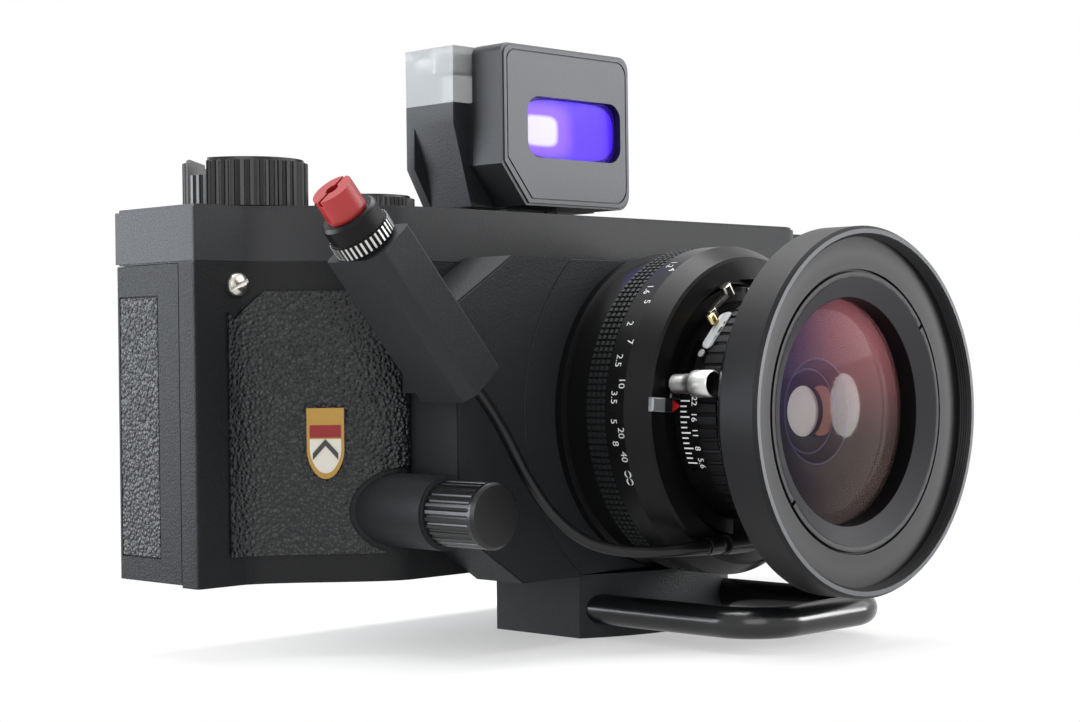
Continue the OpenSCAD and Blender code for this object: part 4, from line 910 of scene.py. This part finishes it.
def glowing(name, hex_rim, hex_halo, hex_core, u, v, half_u, half_v):
    """Coated glass with a painted glow, a soft square of light at (u, v), and a little emission; places and sizes
    are shares of the window.
    """
    material, tree, shader = start_material(name, hex_rim, 0.3, Emission_Strength=0.3)
    place = add(tree, "ShaderNodeTexCoord")
    offset = add(tree, "ShaderNodeVectorMath", [(0, place, "Object")], operation="SUBTRACT")
    offset.inputs[1].default_value = Vector((window_low.x + u * window_w, 0, window_low.z + v * window_h)) * MM
    share = add(tree, "ShaderNodeVectorMath", [(0, offset, "Vector")], operation="MULTIPLY")
    share.inputs[1].default_value = (1 / (half_u * window_w * MM), 0, 1 / (half_v * window_h * MM))
    squares = add(tree, "ShaderNodeVectorMath", [(0, share, "Vector"), (1, share, "Vector")],
                  operation="MULTIPLY")
    reach = add(tree, "ShaderNodeVectorMath", [(0, squares, "Vector")], operation="LENGTH")
    core, halo = (add(tree, "ShaderNodeMapRange", [("Value", reach, "Value")], interpolation_type="SMOOTHSTEP",
                      From_Min=start, From_Max=end, To_Min=1.0, To_Max=0.0)
                  for start, end in ((CORE_FROM, CORE_TO), (HALO_FROM, HALO_TO)))
    wide = add(tree, "ShaderNodeMix", [("Factor", halo, "Result")], data_type="RGBA",
               A=linear(hex_rim), B=linear(hex_halo))
    near = add(tree, "ShaderNodeMix", [("Factor", core, "Result"), ("A", wide, "Result")], data_type="RGBA",
               B=linear(hex_core))
    for socket in ("Base Color", "Emission Color"):
        tree.links.new(near.outputs["Result"], shader.inputs[socket])
    return material


# A coated prism: deep violet, with one painted soft white glow in it.
prism_painted_glow = glowing("violet_prism_painted_glow", VIOLET, "#a070ff", "#ffffff", *GLOW_PLACE, *GLOW_HALF)
print("glow drawn over", round(2 * GLOW_HALF[0] * window_w, 1), "mm of the window")

# %% [markdown]
# The prism's face is a rounded rectangle with a slight dome, made of shrinking rings. A power of the
# cosine below 1 squares a circle off, which is quicker than rounding the corners of a box.

# %% Finder prism
PILLOW_RINGS, PILLOW_SIDES = 7, 48
SQUARENESS = 0.55
INNER_SHARE = 0.999
PRISM_W, PRISM_H = 0.99, 0.98
PRISM_BEHIND, PRISM_RISE = 0.45, 0.3


def pillow(width, height, y, rise):
    """A domed rounded rectangle behind the window; width and height are shares of the window."""
    middle = Vector((window_low.x + 0.5 * window_w, y, window_low.z + 0.5 * window_h))
    points = []
    for ring in range(PILLOW_RINGS):
        inward = ring / (PILLOW_RINGS - 1)
        s = 1 - inward * INNER_SHARE
        for k in range(PILLOW_SIDES):
            t = 2 * math.pi * k / PILLOW_SIDES
            c, n = math.cos(t), math.sin(t)
            x = math.copysign(abs(c) ** SQUARENESS, c) * width * window_w / 2 * s
            z = math.copysign(abs(n) ** SQUARENESS, n) * height * window_h / 2 * s
            points.append(middle + Vector((x, -rise * math.sin(math.pi / 2 * inward), z)))
    return points, ring_faces(PILLOW_RINGS, PILLOW_SIDES)


prism_face = pillow(PRISM_W, PRISM_H, window_low.y + PRISM_BEHIND, PRISM_RISE)
new_piece("finder_prism", *prism_face, prism_painted_glow, "finder")
print("prism face:", len(prism_face[1]), "quads")

# %% [markdown]
# The hood is grey only on its front. The walls of its window are black as painted shade in the recess, and its
# sides have the satin enamel of the finder. The solid stays whole, and each of its faces takes a material by its
# place and by the way it faces.

# %% Three finishes on the hood
WINDOW_MARGIN = 0.5
SIDEWAYS = 0.3  # a face whose normal has less than this along Y looks sideways
SHADED_WALL_SLOT, SATIN_SLOT = 1, 2
hood = nodes["finder_hood"]
hood.data.materials.append(knob_plastic)
hood.data.materials.append(satin_enamel)
for face in hood.data.polygons:
    spot = hood.matrix_world @ face.center / MM
    inside = (window_low.x - WINDOW_MARGIN < spot.x < window_high.x + WINDOW_MARGIN
              and window_low.z - WINDOW_MARGIN < spot.z < window_high.z + WINDOW_MARGIN)
    # Window walls: black as painted shade in the recess.
    if inside and abs(face.normal.y) < SIDEWAYS and spot.y < window_low.y + WINDOW_MARGIN:
        face.material_index = SHADED_WALL_SLOT
    elif face.normal.y > -SIDEWAYS:
        face.material_index = SATIN_SLOT
print("hood faces:", len(hood.data.polygons))

# %% [markdown]
# The badge on the leather is an enamelled shield in a gilt frame: a gilt head, a red band under it, and a
# white field with a black chevron. Its place and its tilt are those of the plain solid that it stands for.
# Each field is a thin plate of its own, because vitreous enamel is fired in shallow cells between metal
# walls, and its edges then catch the light.

# %% Shape of the badge
BADGE_TURN = math.radians(-43.4)
BADGE_W = 10.0
SHOULDER, CURVE_POINTS, CURVE_POWER = 0.2, 8, 1.2
badge_out = Vector((math.sin(BADGE_TURN), -math.cos(BADGE_TURN), 0))
badge_across = Vector((math.cos(BADGE_TURN), math.sin(BADGE_TURN), 0))
badge = nodes["front_badge"]
badge_low, badge_high, badge_mid = box("front_badge")
badge_h = badge_high.z - badge_low.z
badge_face = max((badge.matrix_world @ v.co).dot(badge_out) / MM for v in badge.data.vertices)
badge_centre = badge_mid + badge_out * (badge_face - badge_mid.dot(badge_out))


def shield(scale, top=1.0, bottom=-1.0):
    """The outline of a shield inside the badge, cut to a band between two heights from -1 to 1."""
    half_w, half_h = BADGE_W / 2 * scale, badge_h / 2 * scale
    right_side = [(half_w, half_h), (half_w, -SHOULDER * half_h)]
    for k in range(1, CURVE_POINTS + 1):
        t = math.pi / 2 * k / CURVE_POINTS
        drop = (1 - SHOULDER) * half_h * math.sin(t) ** CURVE_POWER
        right_side.append((half_w * math.cos(t), -SHOULDER * half_h - drop))
    outline = right_side + [(-u, v) for u, v in right_side[-2::-1]]
    return [(u, max(min(v, top * half_h), bottom * half_h)) for u, v in outline]


def badge_plate(name, outline, low, high, material):
    """A flat plate standing on the badge's face between two heights."""
    points = [badge_centre + badge_across * u + Vector((0, 0, v)) + badge_out * h
              for h in (low, high) for u, v in outline]
    count = len(outline)
    faces = [tuple(range(count, 2 * count))] + ring_faces(2, count)
    return new_piece(name, points, faces, material, "camera", smooth=False)


print("badge", BADGE_W, "x", round(badge_h, 1), "mm")

# %% [markdown]
# The enamels of the badge are glass powder melted on the metal. They could be one plate with painted
# areas, but separate plates give the small steps that the fired cells have.

# %% Enamelled shield
FIELD = 0.84
FRAME_TOP, WHITE_TOP, RED_TOP, CHEVRON_TOP = 0.1, 0.22, 0.25, 0.42
CHEVRON = [(-3.4, -2.6), (0, 1.2), (3.4, -2.6), (3.4, -4.4), (0, -0.6), (-3.4, -4.4)]
# Fired enamel: saturated colours under a slightly uneven gloss.
badge_red = plain("red_vitreous_enamel", "#7c0f14", 0.45, Specular_IOR_Level=0.3)
badge_white = plain("white_vitreous_enamel", "#bdb9ae", 0.4)
badge_black = plain("black_vitreous_enamel", "#15130f", 0.4)
# Gilt brass under lacquer: a warm, dull gold.
gilt = plain("gilt_brass", "#8d6f36", 0.42, 0.7)
frame_plate = badge_plate("badge_frame", shield(1.0), -1.0, FRAME_TOP, gilt)
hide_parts("front_badge")
badge_plate("badge_white_field", shield(FIELD, top=0.15), FRAME_TOP, WHITE_TOP, badge_white)
badge_plate("badge_red_field", shield(FIELD, top=0.62, bottom=0.2), FRAME_TOP, RED_TOP, badge_red)
badge_plate("badge_chevron", CHEVRON, FRAME_TOP, CHEVRON_TOP, badge_black)
print("badge enamels:", [colour.name for colour in (badge_red, badge_white, badge_black)])

# %% [markdown]
# The knurled ring of the release grip has its black anodising turned off the tops of its ridges, so
# bright bars alternate with black gaps. A stripe pattern in the material would smear at the edges, so thin
# bars stand on the ridges and turn with the collar.

# %% Bright ridges on the collar
GRIP_FOOT = Vector((-83.5, -26.0, 73.0))
GRIP_TILT = math.radians(49)
GRIP_LENGTH = 48.0
RIDGES = 36
RIDGE_SHARE = 0.2  # half a bar's width, as a share of the spacing
RIDGE_ENDS = (1.0, 4.4)
RIDGE_SUNK, RIDGE_PROUD = 0.3, 0.12
ridge_r = 14.5 / 2 + 1.0
grip_along = Vector((-math.cos(GRIP_TILT), 0, math.sin(GRIP_TILT)))
grip_out = Vector((math.sin(GRIP_TILT), 0, math.cos(GRIP_TILT)))
grip_across = grip_along.cross(grip_out)


def ridge(k):
    """One bright bar, a low box along the grip's axis."""
    middle, half = 2 * math.pi * (k + 0.5) / RIDGES, RIDGE_SHARE * 2 * math.pi / RIDGES
    points = [GRIP_FOOT + grip_along * (GRIP_LENGTH + h) + r * (math.cos(a) * grip_out + math.sin(a) * grip_across)
              for r in (ridge_r - RIDGE_SUNK, ridge_r + RIDGE_PROUD) for h in RIDGE_ENDS
              for a in (middle - half, middle + half)]
    return points, [(4, 5, 7, 6), (0, 1, 5, 4), (2, 6, 7, 3), (0, 4, 6, 2), (1, 3, 7, 5)]


new_piece("collar_ridges", *joined([ridge(k) for k in range(RIDGES)]), silver, "collar", smooth=False)
print("ridges on the collar:", RIDGES)

# %% [markdown]
# The counter dial carries a ring of white ticks on its top, every fourth one longer. They are flat strips
# a hair above the dial, like the paint of the scales.

# %% Marks on the counter
DIAL_TICKS, LONG_EVERY = 24, 4
DIAL_LONG, DIAL_SHORT, DIAL_WIDTH, DIAL_MARGIN = 3, 1.6, 0.35, 1.8
dial_low, dial_high, dial_mid = box("counter_dial")
dial_r = (dial_high.x - dial_low.x) / 2 - DIAL_MARGIN


def dial_tick(k):
    """A thin radial line on the dial's flat top."""
    turn = math.radians(360 * k / DIAL_TICKS)
    out = Vector((math.cos(turn), math.sin(turn), 0))
    side = Vector((-out.y, out.x, 0)) * DIAL_WIDTH / 2
    centre = Vector((dial_mid.x, dial_mid.y, dial_high.z + PAINT))
    inner = dial_r - (DIAL_LONG if k % LONG_EVERY == 0 else DIAL_SHORT)
    ends = ((inner, -1), (dial_r, -1), (dial_r, 1), (inner, 1))
    return [centre + out * r + side * s for r, s in ends], [(0, 1, 2, 3)]


new_piece("counter_marks", *joined([dial_tick(k) for k in range(DIAL_TICKS)]), engraving, "counter", smooth=False)
print("ticks on the counter:", DIAL_TICKS)

# %% [markdown]
# Real castings have small radii on every edge, and it is those that catch the light. The solids keep
# their points, and modifiers do the work: a weld joins the facets, a bevel rounds only edges that turn
# sharply, and weighted normals smooth the rest. Turned pieces keep crisp edges, so they are only split there.

# %% Edge radii
WELD_MM = 0.005
CAST_MM, BLOCK_MM, SMALL_MM = 0.6, 0.4, 0.2
BEVEL_FROM, SPLIT_FROM = math.radians(32), math.radians(20)
BEVEL_SEGMENTS = 2


def join_facets(solid):
    """Smooth shading over the facets of a solid, with their shared points joined."""
    for face in solid.data.polygons:
        face.use_smooth = True
    weld = solid.modifiers.new("joined_facets", "WELD")
    weld.merge_threshold = WELD_MM * MM


def soften(width_mm, *names):
    """Small radii on the edges of cast and moulded solids."""
    for name in names:
        join_facets(nodes[name])
        bevel = nodes[name].modifiers.new("edge_radius", "BEVEL")
        bevel.width = width_mm * MM
        bevel.segments = BEVEL_SEGMENTS
        bevel.limit_method = "ANGLE"
        bevel.angle_limit = BEVEL_FROM
        nodes[name].modifiers.new("even_shading", "WEIGHTED_NORMAL")


soften(CAST_MM, "body_casting", "lens_panel", "rear_cover", "foot_block", "top_cover")
soften(BLOCK_MM, "finder_block", "finder_hood", "grip_casting", "guard_bow")
for name in ("focus_ring", "front_barrel", "shutter_body", "helicoid_barrel", "speed_ring"):
    join_facets(nodes[name])
    split = nodes[name].modifiers.new("turned_edges", "EDGE_SPLIT")
    split.split_angle = SPLIT_FROM
soften(SMALL_MM, "wind_knob", "counter_dial", "clamp_knob_left", "clamp_knob_right", "finder_level",
       "lens_flange", "front_ring", "release_collar", "release_button", "strap_studs", "front_leather_left",
       "front_leather_right", "rear_leathers", "cable_socket", "cable_tip", "aperture_lever", "cocking_lever",
       "release_lever", "finder_eyepiece", "sync_terminal")
print("solids with modifiers:", sum(1 for solid in nodes.values() if solid.modifiers))

# %% [markdown]
# The object stands on a pale floor that runs out to white. Under the object the floor is a painted surface that
# takes the shadow, with a share of white painted light over it that lightens the shadow, and with distance it
# turns to even white. It does so only for rays that show it: from the camera, from gloss and through glass. For
# the light that falls on the object it stays paint, so the white adds no light. A big backdrop in one colour would
# need more light and show a horizon.

# %% Floor
FLOOR_HALF, FLOOR_DROP = 1600, 0.2
# FADE_LEAST is the share of white under the object: painted light that lightens the shadow.
FADE_FROM, FADE_TO, FADE_LEAST = 35, 180, 0.4
# Matt studio paint: nearly white, with no gloss.
floor_paint, floor_tree, floor_shader = start_material("studio_floor", "#f4f4f3", 0.7)
floor_corners = [(x * FLOOR_HALF, y * FLOOR_HALF, -FLOOR_DROP) for x, y in ((-1, -1), (1, -1), (1, 1), (-1, 1))]
floor = new_piece("studio_floor", floor_corners, [(0, 1, 2, 3)], floor_paint, None)


def seen_rays(tree):
    """1 for rays that show the background: from the camera, from gloss and through glass."""
    path = add(tree, "ShaderNodeLightPath")
    shine = add(tree, "ShaderNodeMath", [(0, path, "Is Camera Ray"), (1, path, "Is Glossy Ray")],
                operation="MAXIMUM")
    return add(tree, "ShaderNodeMath", [(0, shine, 0), (1, path, "Is Transmission Ray")], operation="MAXIMUM")


floor_place = add(floor_tree, "ShaderNodeNewGeometry")
distance = add(floor_tree, "ShaderNodeVectorMath", [(0, floor_place, "Position")], operation="LENGTH")
far = add(floor_tree, "ShaderNodeMapRange", [("Value", distance, "Value")], interpolation_type="SMOOTHSTEP",
          From_Min=FADE_FROM * MM, From_Max=FADE_TO * MM, To_Min=FADE_LEAST, To_Max=1.0)
fade = add(floor_tree, "ShaderNodeMath", [(0, far, "Result"), (1, seen_rays(floor_tree), 0)],
           operation="MULTIPLY")
white = add(floor_tree, "ShaderNodeEmission", Color=(1, 1, 1, 1), Strength=1.0)
surface = add(floor_tree, "ShaderNodeMixShader", [(0, fade, 0), (1, floor_shader, 0), (2, white, 0)])
floor_tree.links.new(surface.outputs[0], floor_tree.nodes["Material Output"].inputs["Surface"])
print("floor turns white from", FADE_FROM, "to", FADE_TO, "mm")

# %% [markdown]
# The room is the world's background. Rays that show it see white. As light on the object it is weaker, and
# weakest on the photographer's side, so that the faces turned to the camera stay black. A lamp less in front
# would do the same, but a gradient has no edge that could show in the paint.

# %% Room
ROOM_FAR, ROOM_NEAR = 0.8, 0.28
ROOM_FROM, ROOM_TO = -0.3, 0.8  # along the direction to the camera, from -1 behind to 1 in front
world = bpy.data.worlds.new("studio")
scene.world = world
world.use_nodes = True
sky = world.node_tree
background = sky.nodes["Background"]
background.inputs["Color"].default_value = (1, 1, 1, 1)
direction = add(sky, "ShaderNodeTexCoord")
toward = add(sky, "ShaderNodeVectorMath", [(0, direction, "Generated")], operation="DOT_PRODUCT")
toward.inputs[1].default_value = back
room = add(sky, "ShaderNodeMapRange", [("Value", toward, "Value")], interpolation_type="SMOOTHSTEP",
           From_Min=ROOM_FROM, From_Max=ROOM_TO, To_Min=ROOM_FAR, To_Max=ROOM_NEAR)
strength = add(sky, "ShaderNodeMix", [("Factor", seen_rays(sky), 0), ("A", room, "Result")], B=1.0)
sky.links.new(strength.outputs["Result"], background.inputs["Strength"])
print("room light from", ROOM_FAR, "behind to", ROOM_NEAR, "in front")

# %% [markdown]
# Five lamps do the rest. A big bluish one behind at the left makes the end of the body the brightest part
# of the metal, one above lights the tops, a weak one beside the camera fills the shade, and a long one at
# the right draws the hood and the lens ring. A small round one in front of the lens gives the round light in
# the glass. All are area lamps, because their soft edges are what studio light looks like.

# %% Lamps
LAMPS = [  # name, place, target and size in mm, watts, shape, tint
    ("left_softbox", (-700, 700, 150), (-100, 20, 60), (700, 700), 12, "RECTANGLE", "#f0f6ff"),
    ("top_softbox", (0, 150, 900), (0, 0, 60), (900, 600), 13, "RECTANGLE", "#ffffff"),
    ("fill_softbox", (-760, -740, 330), (-40, -30, 70), (700, 600), 3.5, "RECTANGLE", "#ffffff"),
    ("front_softbox", (760, -830, 620), (0, -20, 90), (1500, 700), 7, "RECTANGLE", "#ffffff"),
    ("round_lamp", (240, -300, 66), (0, -90, 64), (110, 110), 0.55, "DISK", "#ffffff"),
]
for name, place_mm, target_mm, size_mm, watts, shape, tint in LAMPS:
    lamp = bpy.data.lights.new(name, "AREA")
    lamp.shape = shape
    lamp.size, lamp.size_y = (s * MM for s in size_mm)
    lamp.energy = watts
    lamp.color = linear(tint)[:3]
    holder = bpy.data.objects.new(name, lamp)
    holder.location = Vector(place_mm) * MM
    holder.visible_camera = False
    aim = (Vector(target_mm) - Vector(place_mm)).normalized()
    holder.rotation_euler = aim.to_track_quat("-Z", "Y").to_euler()
    scene.collection.objects.link(holder)
print("lamps:", len(LAMPS), "with", sum(row[4] for row in LAMPS), "W")
